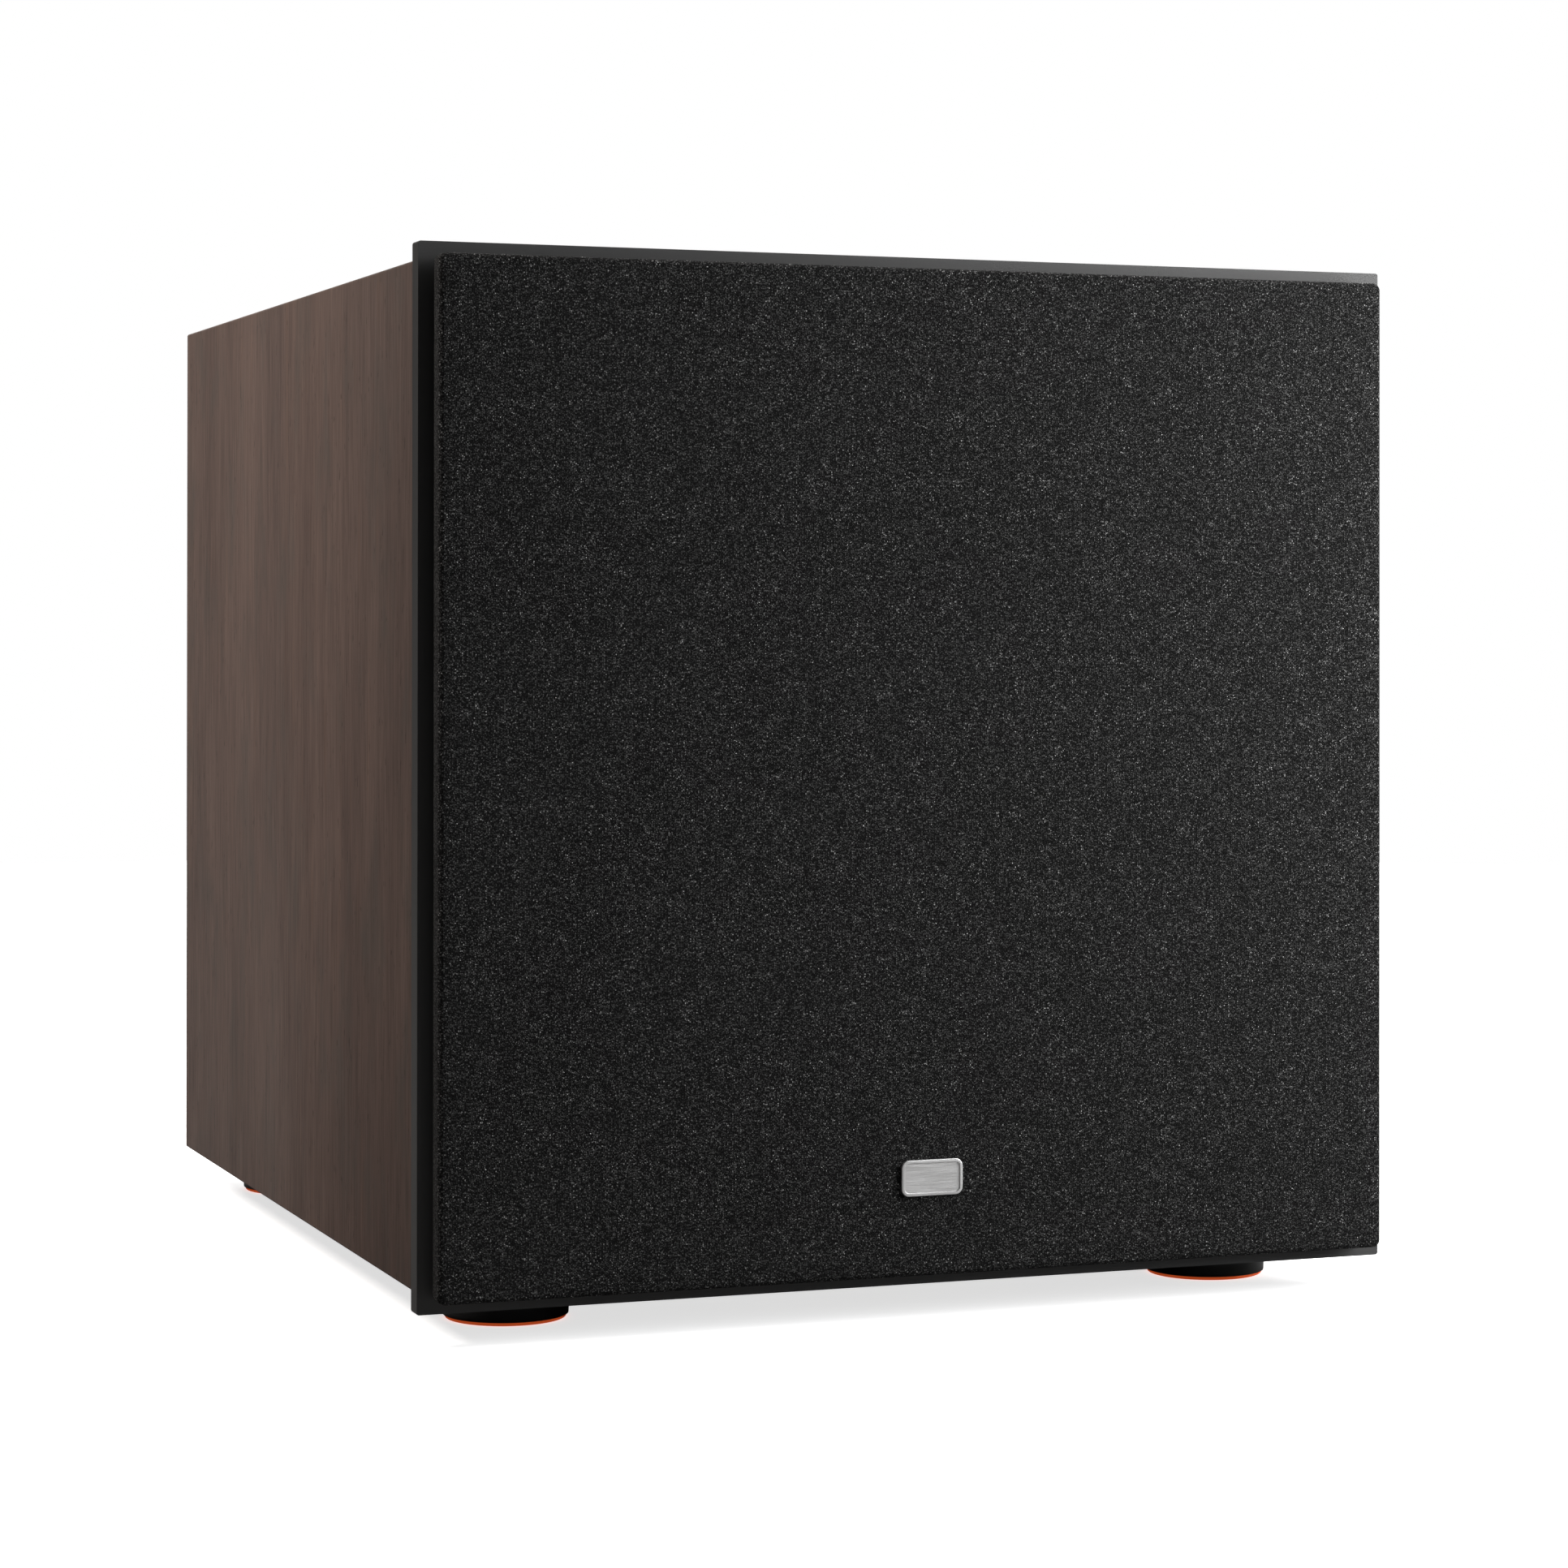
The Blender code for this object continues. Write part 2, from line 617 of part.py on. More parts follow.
def make_cone_assembly(driver):
    """Everything that moves with the voice coil, and the two suspensions that bend between it and the
    basket."""
    cone_assembly = empty("cone_assembly", (0, 0, 0), driver)
    lip_front = FLANGE_FRONT + 0.0001
    neck_front = lip_front + CONE_DEPTH
    middle_radius = (CONE_LIP_RADIUS + CONE_NECK_RADIUS) / 2
    middle_front = lip_front + 0.54 * CONE_DEPTH
    steep_thick = 1.2 * CONE_THICK
    cone = [
        (CONE_RADIUS, lip_front),
        (CONE_LIP_RADIUS, lip_front),
        (middle_radius, middle_front),
        (CONE_NECK_RADIUS, neck_front),
        (CONE_NECK_RADIUS, neck_front + 0.0020),
        (middle_radius, middle_front + steep_thick),
        (CONE_LIP_RADIUS, lip_front + steep_thick),
        (CONE_RADIUS, lip_front + CONE_THICK),
    ]
    turned("cone", cone, CONE_STEPS, "cone_fibre", (0, 0, 0), cone_assembly)

    cap_radius, cap_height, cap_thick, cap_bulge = 0.046, 0.014, 0.0010, 0.93
    cap_rim = lip_front + 0.0355
    arcs = 4
    outside, inside = [], []
    for step in range(arcs + 1):
        share = step / arcs
        dome = math.sqrt(1 - (cap_bulge * share) ** 2)
        rim = math.sqrt(1 - cap_bulge**2)
        rise = cap_height * (dome - rim) / (1 - rim)
        outside.append((cap_radius * share, cap_rim - rise))
        inside.append(((cap_radius - cap_thick) * share, cap_rim + cap_thick - rise))
    turned("dust_cap", outside + inside[::-1], SMALL_STEPS, "cone_fibre", (0, 0, 0), cone_assembly)

    former_inner = COIL_RADIUS - 0.0005
    former_front, former_back = neck_front - 0.003, COIL_MID_DEPTH + COIL_LENGTH / 2 + 0.002
    former = [
        (former_inner, former_front),
        (COIL_RADIUS, former_front),
        (COIL_RADIUS, former_back),
        (former_inner, former_back),
    ]
    turned("coil_former", former, SMALL_STEPS, "cone_fibre", (0, 0, 0), cone_assembly)
    coil_inner, coil_outer = COIL_RADIUS + GAP, COIL_RADIUS + 0.0014
    coil_front, coil_back = COIL_MID_DEPTH - COIL_LENGTH / 2, COIL_MID_DEPTH + COIL_LENGTH / 2
    coil = [
        (coil_inner, coil_front),
        (coil_outer, coil_front),
        (coil_outer, coil_back),
        (coil_inner, coil_back),
    ]
    turned("voice_coil", coil, SMALL_STEPS, "copper", (0, 0, 0), cone_assembly)

    make_surround(cone_assembly)
    make_spider(cone_assembly)


def make_surround(cone_assembly):
    """A half roll of rubber between two flat lands."""
    back = FLANGE_FRONT - GAP
    inner_edge = SURROUND_MID_RADIUS - SURROUND_ROLL_RADIUS - 0.0065
    arcs = 6
    roll_front, roll_back = [], []
    outer_radius, inner_radius = SURROUND_ROLL_RADIUS, SURROUND_ROLL_RADIUS - SURROUND_THICK
    for step in range(arcs + 1):
        angle = math.pi * step / arcs
        across, rise = -math.cos(angle), outer_radius * math.sin(angle)
        roll_front.append((SURROUND_MID_RADIUS + outer_radius * across, back - SURROUND_THICK - rise))
        roll_back.append((SURROUND_MID_RADIUS + inner_radius * across, back - rise))
    outline = [(inner_edge, back - SURROUND_THICK)]
    outline += roll_front
    outline += [(SURROUND_OUTER_RADIUS, back - SURROUND_THICK), (SURROUND_OUTER_RADIUS, back)]
    outline += roll_back[::-1]
    outline += [(inner_edge, back)]
    turned("surround", outline, CONE_STEPS, "black_rubber", (0, 0, 0), cone_assembly)


def make_spider(cone_assembly):
    """A pleated disc between the coil former and the basket's shelf."""
    thick = 0.0008
    inner_edge, first, last = COIL_RADIUS + 0.0005, 0.032, 0.066
    near = [(inner_edge, SPIDER_DEPTH)]
    for step in range(2 * SPIDER_WAVES + 1):
        radius = first + (last - first) * step / (2 * SPIDER_WAVES)
        wave = SPIDER_WAVE_HEIGHT * (1 if step % 2 else -1) - SPIDER_WAVE_HEIGHT
        near.append((radius, SPIDER_DEPTH + wave))
    near += [(0.070, SPIDER_DEPTH), (SPIDER_RADIUS, SPIDER_DEPTH)]
    far = [(radius, depth + thick) for radius, depth in near]
    turned("spider", near + far[::-1], SMALL_STEPS, "spider_cloth", (0, 0, 0), cone_assembly)


def make_port(front):
    """A straight tube with a flared mouth whose flange lies on the rear panel."""
    tube_back, flange_front = CABINET_BACK - 0.017, CABINET_BACK + GAP
    mouth_back = flange_front + 0.0025
    tube_front = mouth_back - PORT_LENGTH
    outer = PORT_RADIUS + 0.0025
    arcs = 4
    outline = [(outer, tube_front), (PORT_RADIUS, tube_front)]
    for step in range(arcs + 1):
        angle = math.pi / 2 * step / arcs
        radius = PORT_RADIUS + PORT_FLARE * (1 - math.cos(angle))
        outline.append((radius, tube_back + (mouth_back - tube_back) * math.sin(angle)))
    outline += [
        (PORT_FLANGE_RADIUS - 0.001, mouth_back),
        (PORT_FLANGE_RADIUS, mouth_back - 0.001),
        (PORT_FLANGE_RADIUS, flange_front),
        (PORT_RADIUS + PORT_FLARE, flange_front),
        (PORT_RADIUS + PORT_FLARE - 0.001, flange_front - 0.005),
        (outer + 0.0005, tube_back),
    ]
    turned("port_tube", outline, MID_STEPS, "black_plastic", (0, 0, PORT_ABOVE_FLOOR), front)


def make_amp_plate(amp):
    """The plate, the gasket under it, the heatsink on it, and what is fixed behind it."""
    plate_size = (PLATE_WIDTH, PLATE_HEIGHT)
    centre = (0, PLATE_CENTRE_Z)
    plate = block_at("amp_plate", centre, plate_size, -PLATE_THICK, 0, "amp_black", amp)
    low, high = -0.02, 0.01
    knob_hole, jack_hole, led_hole = 0.0040, 0.0042, 0.0030
    for name, at in (("level", LEVEL_KNOB_AT), ("crossover", CROSSOVER_KNOB_AT)):
        cut(plate, drill(f"{name}_hole", knob_hole, low, high, at, amp, TINY_STEPS))
    for name, at in (("phase", PHASE_SWITCH_AT), ("mode", MODE_SWITCH_AT)):
        cut(plate, block_at(f"{name}_hole", at, (0.0146, 0.0086), low, high, None, amp))
    for name, height in JACK_HEIGHTS.items():
        cut(plate, drill(f"jack_{name}_hole", jack_hole, low, high, (JACK_X, height), amp, TINY_STEPS))
    cut(
        plate,
        drill("led_hole", led_hole, low, high, STATUS_LED_AT, amp, TINY_STEPS),
        block_at("rocker_hole", ROCKER_AT, (0.0216, 0.0296), low, high, None, amp),
        block_at("inlet_hole", INLET_AT, (0.0286, 0.0486), low, high, None, amp),
    )

    outer = rounded_rectangle(PLATE_WIDTH - 0.002, PLATE_HEIGHT - 0.002, 0.004, steps=1)
    inner = rounded_rectangle(2 * CUT_OUT_HALF_WIDTH, 2 * CUT_OUT_HALF_HEIGHT, 0.004, steps=1)
    behind = -PLATE_THICK - GAP
    at = (0, 0, PLATE_CENTRE_Z)
    frame_shape("amp_gasket", outer, inner, behind - GASKET_THICK, behind, "black_rubber", at, amp)

    width, height = HEATSINK_SIZE
    fin_thick, base_thick = 0.002, 0.003
    pitch = (width - fin_thick) / (HEATSINK_FINS - 1)
    base = GAP + base_thick
    comb = [(-width / 2, GAP)]
    for fin in range(HEATSINK_FINS):
        left = -width / 2 + fin * pitch
        comb += [(left, GAP + HEATSINK_HEIGHT), (left + fin_thick, GAP + HEATSINK_HEIGHT)]
        if fin < HEATSINK_FINS - 1:
            comb += [(left + fin_thick, base), (left + pitch, base)]
    comb.append((width / 2, GAP))
    place = (HEATSINK_CENTRE[0], 0, HEATSINK_CENTRE[1])
    lofted("heatsink", [(comb, -height / 2), (comb, height / 2)], "amp_black", place, amp, axis="Z")

    board_back = -BOARD_BEHIND_FACE
    board_front = board_back - BOARD_THICK
    block("circuit_board", (-0.095, board_front, 0.155), (0.095, board_back, 0.238), "circuit_green", amp)
    core_back = behind
    core_front = core_back - TRANSFORMER_LENGTH
    hole, edge = 0.012, 0.006
    core = [
        (hole, core_front + edge),
        (hole + edge, core_front),
        (TRANSFORMER_RADIUS - edge, core_front),
        (TRANSFORMER_RADIUS, core_front + edge),
        (TRANSFORMER_RADIUS, core_back - edge),
        (TRANSFORMER_RADIUS - edge, core_back),
        (hole + edge, core_back),
        (hole, core_back - edge),
    ]
    place = (TRANSFORMER_AT[0], 0, TRANSFORMER_AT[1])
    turned("transformer", core, SMALL_STEPS, "winding_tape", place, amp)


def make_knob(amp, name, at):
    """A knob with its shaft, whose origin is on its axis, and the potentiometer that the shaft turns in."""
    skirt = 0.0010
    shaft, shaft_end = 0.0030, -0.0085
    knob = [
        (0, KNOB_HEIGHT),
        (KNOB_RADIUS - 0.0022, KNOB_HEIGHT),
        (KNOB_RADIUS - 0.0012, KNOB_HEIGHT - 0.0010),
        (KNOB_RADIUS - 0.0004, skirt + 0.0025),
        (KNOB_RADIUS, skirt),
        (shaft, skirt),
        (shaft, shaft_end),
        (0, shaft_end),
    ]
    turned(f"{name}_knob", knob, SMALL_STEPS, "black_plastic", (at[0], 0, at[1]), amp)
    back = -PLATE_THICK - GAP
    body = block_at(f"{name}_potentiometer", at, (0.017, 0.017), -0.0123, back, "plated_steel", amp)
    bore_end = shaft_end - 0.0010
    cut(body, drill(f"{name}_bore", shaft + GAP, bore_end, 0.01, at, amp, TINY_STEPS))


def make_slide_switch(amp, name, at):
    """A small slide switch: a housing that shows through the plate, and a slider that moves along X."""
    lip, lip_front = (0.0180, 0.0110), 0.0012
    housing = block_at(f"{name}_switch_housing", at, lip, GAP, lip_front, "black_plastic", amp)
    body = block_at(f"{name}_body", at, (0.0140, 0.0080), -0.0123, lip_front - 0.0004, None, amp)
    pocket = block_at(f"{name}_pocket", at, (0.0100, 0.0044), -0.0090, 0.01, None, amp)
    join(housing, body)
    cut(housing, pocket)
    parked = (at[0] + 0.0022, at[1])
    block_at(f"{name}_slider", parked, (0.0046, 0.0036), -0.0085, 0.0034, "nickel", amp)


def make_rocker(amp):
    """The mains rocker, with its origin on its pivot, in a housing with a raised bezel."""
    x, z = ROCKER_AT
    bezel = block_at("rocker_housing", ROCKER_AT, (0.0240, 0.0320), GAP, 0.0020, "black_plastic", amp)
    body = block_at("rocker_body", ROCKER_AT, (0.0210, 0.0290), -0.0180, 0.0016, None, amp)
    pocket = block_at("rocker_pocket", ROCKER_AT, (0.0176, 0.0266), -0.0150, 0.01, None, amp)
    join(bezel, body)
    cut(bezel, pocket)
    half, reach = 0.0084, 0.0124
    outline = [
        (-0.0060, -0.0040),
        (-0.0060, 0.0040),
        (0.0000, reach),
        (0.0032, reach),
        (0.0022, 0.0000),
        (0.0032, -reach),
        (0.0000, -reach),
    ]
    loops = [(outline, -half), (outline, half)]
    rocker = lofted("power_rocker", loops, "black_plastic", (x, 0, z), amp, axis="X")
    rocker.rotation_euler = (-ROCKER_TILT, 0, 0)


def make_inlet(amp):
    """The mains inlet: a recess with three blades, and under it the pocket of the fuse drawer."""
    x, z = INLET_AT
    bezel = block_at("power_inlet", INLET_AT, (0.0330, 0.0520), GAP, 0.0022, "black_plastic", amp)
    body = block_at("inlet_body", INLET_AT, (0.0280, 0.0480), -0.0260, 0.0018, None, amp)
    recess_z = z + 0.0090
    floor = -0.0180
    recess = block_at("inlet_recess", (x, recess_z), (0.0242, 0.0162), floor, 0.01, None, amp)
    join(bezel, body)
    cut(bezel, recess)
    blade_tip = -0.0045
    blade = (0.0020, 0.0040)
    for name, dx, dz in (("earth", 0, 0.0020), ("live", -0.0070, -0.0020), ("neutral", 0.0070, -0.0020)):
        blade_at = (x + dx, recess_z + dz)
        join(bezel, block_at(f"{name}_blade", blade_at, blade, floor - 0.001, blade_tip, None, amp))
    drawer_at = (x, z - 0.0140)
    cut(bezel, block_at("drawer_pocket", drawer_at, (0.0236, 0.0096), -0.0240, 0.01, None, amp))
    drawer = block_at("fuse_drawer", drawer_at, (0.0230, 0.0090), -0.0235, 0.0026, "black_plastic", amp)
    cut(drawer, block_at("fuse_channel", drawer_at, (0.0056, 0.0200), -0.0240, -0.0010, None, amp))


def make_jacks_and_light(amp):
    """Two input jacks, each one turned piece with a blind centre hole, and the status light."""
    barrel, collar, neck, nut = 0.00415, 0.0062, 0.0036, 0.0055
    hole, tip = 0.0017, 0.0090
    nut_front = -PLATE_THICK - GAP
    jack = [
        (0, 0.0020),
        (hole, 0.0020),
        (hole, tip),
        (barrel, tip),
        (barrel, 0.0013),
        (collar, 0.0013),
        (collar, GAP),
        (neck, GAP),
        (neck, nut_front),
        (nut, nut_front),
        (nut, -0.0120),
        (0, -0.0120),
    ]
    for name, height in JACK_HEIGHTS.items():
        turned(f"input_jack_{name}", jack, TINY_STEPS, "nickel", (JACK_X, 0, height), amp)
    light = [(0, 0.0016), (0.0015, 0.0012), (0.0025, 0), (0.0025, -0.0120), (0, -0.0120)]
    x, z = STATUS_LED_AT
    turned("status_light", light, TINY_STEPS, "led_lens", (x, 0, z), amp)


def smooth_route(corners, count):
    """Points on one smooth curve through the corners, by the Catmull-Rom formula."""
    ends = [2 * corners[0] - corners[1], *corners, 2 * corners[-1] - corners[-2]]
    points = []
    for number in range(count):
        along = (len(corners) - 1) * number / (count - 1)
        start = min(int(along), len(corners) - 2)
        t = along - start
        a, b, c, d = ends[start : start + 4]
        bend = (2 * a - 5 * b + 4 * c - d) * t * t + (3 * b - a - 3 * c + d) * t**3
        points.append(0.5 * (2 * b + (c - a) * t + bend))
    return points


def make_speaker_lead(front):
    """The lead inside the cabinet: from the driver's terminal, along the floor, up to the circuit board."""
    radius, clear = 0.0020, 0.0012
    floor = INNER_BOTTOM + radius + clear
    board = PLATE_FACE - BOARD_BEHIND_FACE - BOARD_THICK - 2 * GAP
    corners = [
        Vector((0.004, 0.0690, 0.1000)),
        Vector((0.006, 0.0860, 0.0900)),
        Vector((0.012, 0.1150, 0.0620)),
        Vector((0.022, 0.1500, 0.0410)),
        Vector((0.034, 0.1950, floor)),
        Vector((0.040, 0.2500, floor)),
        Vector((0.036, 0.3100, floor)),
        Vector((0.028, 0.3550, 0.0420)),
        Vector((0.021, 0.3820, 0.0680)),
        Vector((0.018, 0.3960, 0.1080)),
        Vector((0.018, 0.4040, 0.1500)),
        Vector((0.018, 0.4200, 0.1740)),
        Vector((0.018, board, 0.1760)),
    ]
    curve = bpy.data.curves.new("speaker_lead", "CURVE")
    curve.dimensions = "3D"
    curve.bevel_depth = radius
    curve.bevel_resolution = 2
    curve.use_fill_caps = True
    count = 44
    spline = curve.splines.new("POLY")
    spline.points.add(count - 1)
    for point, place in zip(spline.points, smooth_route(corners, count)):
        point.co = (*place, 1)
    curve.materials.append(finish_of("lead_sheath"))
    lead = bpy.data.objects.new("speaker_lead", curve)
    lead.parent = front
    bpy.context.scene.collection.objects.link(lead)


def main():
    clear_scene()
    front = empty("baffle_front", (0, BAFFLE_FRONT_Y, 0))
    make_cabinet(front)
    make_baffle(front)
    make_grille(front)
    make_feet(front)
    driver = empty("driver_axis", (0, 0, BAFFLE_CENTRE_Z), front)
    make_driver_frame(driver)
    make_cone_assembly(driver)
    make_port(front)
    amp = empty("amp_face", (0, PLATE_FACE, 0), front)
    make_amp_plate(amp)
    make_knob(amp, "level", LEVEL_KNOB_AT)
    make_knob(amp, "crossover", CROSSOVER_KNOB_AT)
    make_slide_switch(amp, "phase", PHASE_SWITCH_AT)
    make_slide_switch(amp, "mode", MODE_SWITCH_AT)
    make_rocker(amp)
    make_inlet(amp)
    make_jacks_and_light(amp)
    make_speaker_lead(front)


main()
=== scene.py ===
"""The looks of the powered subwoofer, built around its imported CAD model.

Metres, +Z up, the grille faces -Y. Places and sizes come from the boxes of the CAD nodes.
"""

import json
import math
import random

import bmesh
import bpy
from mathutils import Matrix, Vector


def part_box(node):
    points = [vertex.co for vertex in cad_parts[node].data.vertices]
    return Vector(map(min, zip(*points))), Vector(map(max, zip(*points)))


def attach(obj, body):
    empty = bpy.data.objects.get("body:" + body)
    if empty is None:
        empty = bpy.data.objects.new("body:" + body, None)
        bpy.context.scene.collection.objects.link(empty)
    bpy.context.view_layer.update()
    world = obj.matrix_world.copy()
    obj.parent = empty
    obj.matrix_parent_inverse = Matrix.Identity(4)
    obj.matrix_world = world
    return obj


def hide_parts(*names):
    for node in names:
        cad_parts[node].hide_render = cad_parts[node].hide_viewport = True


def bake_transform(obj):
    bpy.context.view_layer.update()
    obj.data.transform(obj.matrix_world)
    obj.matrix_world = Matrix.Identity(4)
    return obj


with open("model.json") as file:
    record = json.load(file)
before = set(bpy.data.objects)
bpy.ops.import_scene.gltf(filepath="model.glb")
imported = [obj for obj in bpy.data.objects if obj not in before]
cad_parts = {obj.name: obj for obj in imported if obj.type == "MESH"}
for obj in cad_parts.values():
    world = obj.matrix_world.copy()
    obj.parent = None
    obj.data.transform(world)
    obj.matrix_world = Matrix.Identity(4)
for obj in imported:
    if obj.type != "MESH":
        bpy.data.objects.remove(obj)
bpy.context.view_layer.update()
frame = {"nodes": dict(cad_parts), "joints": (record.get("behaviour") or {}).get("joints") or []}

FINE, MEDIUM, COARSE = 96, 64, 32  # steps round a turned piece
SKIN = 0.0002  # the clearance between pieces that would touch
HALF_TURN = math.pi
QUARTER_TURN = math.pi / 2
SHARP = 35  # degrees: a sharper edge stays sharp when faces are shaded smooth
WELD_REACH = 0.00001

LENS, SENSOR = 89.24, 36
CAMERA_SHIFT = -0.1226
CAMERA_PLACE = Vector((-0.5696, -1.3916, 0.2596))  # from the middle of the baffle's lower front edge
PITCH, TURN, ROLL = (math.radians(angle) for angle in (0.292, 20.26, 0.05))

FLOOR_RADIUS = 2.6
FLOOR_BOUNCE = 0.23  # the share of light that the floor throws back, less than it shows
FLOOR_GLOW = 0.70  # seen by the camera only, so that the floor is white and its shadows are pale
WORLD_LIGHT = (0.035, 0.035, 0.036)
MIDDLE = (0, 0, 0.2)


# ---------- boxes of the CAD nodes


class Span:
    """The box of a CAD node, with its middle, its size and the place of a piece that is drawn along Y."""

    def __init__(self, node):
        self.low, self.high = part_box(node)
        self.mid = (self.low + self.high) / 2
        self.size = self.high - self.low
        self.axis = Vector((self.mid.x, 0, self.mid.z))


BAFFLE = Span("front_baffle")
CLOTH = Span("grille_cloth")
BADGE = Span("badge")
REAR = Span("rear_panel")
PLATE = Span("amp_plate")
GASKET = Span("woofer_gasket")
CONE = Span("cone")
CAP = Span("dust_cap")
SURROUND = Span("surround")
SPIDER = Span("spider")
PORT = Span("port_tube")
DRIVER = GASKET.axis


# ---------- material nodes


def new_material(name, colour, roughness, metallic=0.0, specular=0.5, sheen=0.0):
    """A material whose shader holds the plain values, that shader, and the place on the object."""
    material = bpy.data.materials.new(name)
    material.use_nodes = True
    shader = material.node_tree.nodes["Principled BSDF"]
    shader.inputs["Base Color"].default_value = (*colour, 1)
    shader.inputs["Roughness"].default_value = roughness
    shader.inputs["Metallic"].default_value = metallic
    shader.inputs["Specular IOR Level"].default_value = specular
    shader.inputs["Sheen Weight"].default_value = sheen
    shader.inputs["Sheen Roughness"].default_value = 0.5
    return material, shader, node("ShaderNodeTexCoord", {}, "Object", material.node_tree)


def node(kind, inputs, output=0, tree=None, **settings):
    """Adds a node, fills its inputs with values or links, and returns one of its outputs. The tree is
    that of the linked inputs, and is only given for a node that has none."""
    if tree is None:
        tree = next(v.id_data for v in inputs.values() if isinstance(v, bpy.types.NodeSocket))
    made = tree.nodes.new(kind)
    for name, value in settings.items():
        setattr(made, name, value)
    for name, value in inputs.items():
        if isinstance(value, bpy.types.NodeSocket):
            tree.links.new(value, made.inputs[name])
        else:
            made.inputs[name].default_value = value
    return made.outputs[output]


def stretch(vector, scale):
    return node("ShaderNodeVectorMath", {0: vector, 1: scale}, operation="MULTIPLY")


def noise(vector, scale, detail=2.0, roughness=0.5):
    inputs = {"Vector": vector, "Scale": scale, "Detail": detail, "Roughness": roughness}
    return node("ShaderNodeTexNoise", inputs, "Fac")


def remap(value, low, high, to_low=0.0, to_high=1.0):
    """A straight line from [low, high] to [to_low, to_high], held at its ends."""
    inputs = {"Value": value, "From Min": low, "From Max": high, "To Min": to_low, "To Max": to_high}
    return node("ShaderNodeMapRange", inputs)


def calc(operation, first, second=0.0):
    return node("ShaderNodeMath", {0: first, 1: second}, operation=operation)


def times(first, second):
    return calc("MULTIPLY", first, second)


def tint(share, first, second):
    """Mixes two colours, each a colour or a socket."""
    first, second = (c if isinstance(c, bpy.types.NodeSocket) else (*c, 1) for c in (first, second))
    return node("ShaderNodeMix", {0: share, 6: first, 7: second}, 2, data_type="RGBA")


def connect(shader, colour, roughness, height, depth, strength=1.0):
    """Links a material's colour, its roughness and the height that its relief is made from."""
    relief = node("ShaderNodeBump", {"Height": height, "Distance": depth, "Strength": strength})
    for name, value in (("Base Color", colour), ("Roughness", roughness), ("Normal", relief)):
        shader.id_data.links.new(value, shader.inputs[name])


def moulded(name, colour, roughness, grain=0.0006, depth=0.00003, sheen=0.0, painted_glow=0.0):
    """Moulded plastic, rubber or coated metal: a fine grain, slow changes in tone and gloss, and a painted
    glow where one is given.
    """
    material, shader, spot = new_material(name, colour, roughness, sheen=sheen)
    fine, slow = noise(spot, 1 / grain, 3.0, 0.6), noise(spot, 35.0, 3.0, 0.6)
    darker, lighter = ([share * part for part in colour] for share in (0.80, 1.25))
    # Painted glow: emission in the part's own colour, painted light on a part that is no lamp.
    shader.inputs["Emission Color"].default_value = (*colour, 1)
    shader.inputs["Emission Strength"].default_value = painted_glow
    slow_share, fine_share = 0.14, 0.10
    slow_part = times(calc("SUBTRACT", slow, 0.5), slow_share)
    fine_part = times(calc("SUBTRACT", fine, 0.5), fine_share)
    rough = calc("ADD", roughness, calc("ADD", slow_part, fine_part))
    connect(shader, tint(slow, darker, lighter), rough, fine, depth)
    return material


def brushed(name, colour, roughness, along, metallic=1.0):
    """Metal with fine scratches along one axis, 0 to 2."""
    material, shader, spot = new_material(name, colour, roughness, metallic)
    scale = [3500.0] * 3
    scale[along] = 90.0
    lines = noise(stretch(spot, scale), 1.0, 2.0, 0.6)
    rough = remap(lines, 0.3, 0.7, roughness - 0.10, roughness + 0.14)
    dull = [0.82 * part for part in colour]
    connect(shader, tint(noise(spot, 50.0), dull, colour), rough, lines, 0.00002)
    return material


def wood_vinyl(name, across):
    """Dark walnut-look vinyl. The grain's lines are narrow along the axis `across` and long along the
    others. Over them lie broad cool patches, a few warm streaks and short dark pores."""
    material, shader, spot = new_material(name, (0.100, 0.070, 0.058), 0.60, specular=0.22)

    def streaks(width, length, detail=2.0, roughness=0.5):
        scale = [1 / length] * 3
        scale[across] = 1 / width
        return noise(stretch(spot, scale), 1.0, detail, roughness)

    hair = streaks(0.0009, 0.022, 2.0, 0.7)
    fine = streaks(0.0024, 0.040, 2.0, 0.7)
    medium = streaks(0.0100, 0.120, 3.0, 0.6)
    broad = streaks(0.0520, 0.320, 2.0, 0.5)
    pores = streaks(0.0018, 0.0060, 1.0, 0.5)
    cool_patch = streaks(0.0260, 0.060, 3.0, 0.65)
    warm_streak = streaks(0.0060, 0.090, 1.0, 0.5)

    dusk, dawn = (0.078, 0.053, 0.044), (0.122, 0.084, 0.069)
    ink, straw = (0.046, 0.032, 0.028), (0.178, 0.124, 0.102)
    cool, warm, pore = (0.070, 0.060, 0.052), (0.140, 0.080, 0.052), (0.034, 0.024, 0.021)
    base = tint(remap(broad, 0.36, 0.64), dusk, dawn)
    lines = calc("ADD", times(hair, 0.35), times(fine, 0.65))
    lines = remap(lines, 0.32, 0.68)
    bands = remap(medium, 0.30, 0.70)
    share = calc("ADD", times(lines, 0.66), times(bands, 0.34))
    grain = tint(share, tint(0.62, base, ink), tint(0.42, base, straw))
    toned = tint(remap(cool_patch, 0.50, 0.72, 0.0, 0.60), grain, cool)
    warmed = tint(remap(warm_streak, 0.62, 0.78, 0.0, 0.20), toned, warm)
    pitted = tint(remap(pores, 0.68, 0.76, 0.0, 0.55), warmed, pore)
    relief = calc("SUBTRACT", times(lines, 0.6), remap(pores, 0.62, 0.75))
    connect(shader, pitted, remap(lines, 0.0, 1.0, 0.74, 0.64), relief, 0.00005, 0.6)
    return material


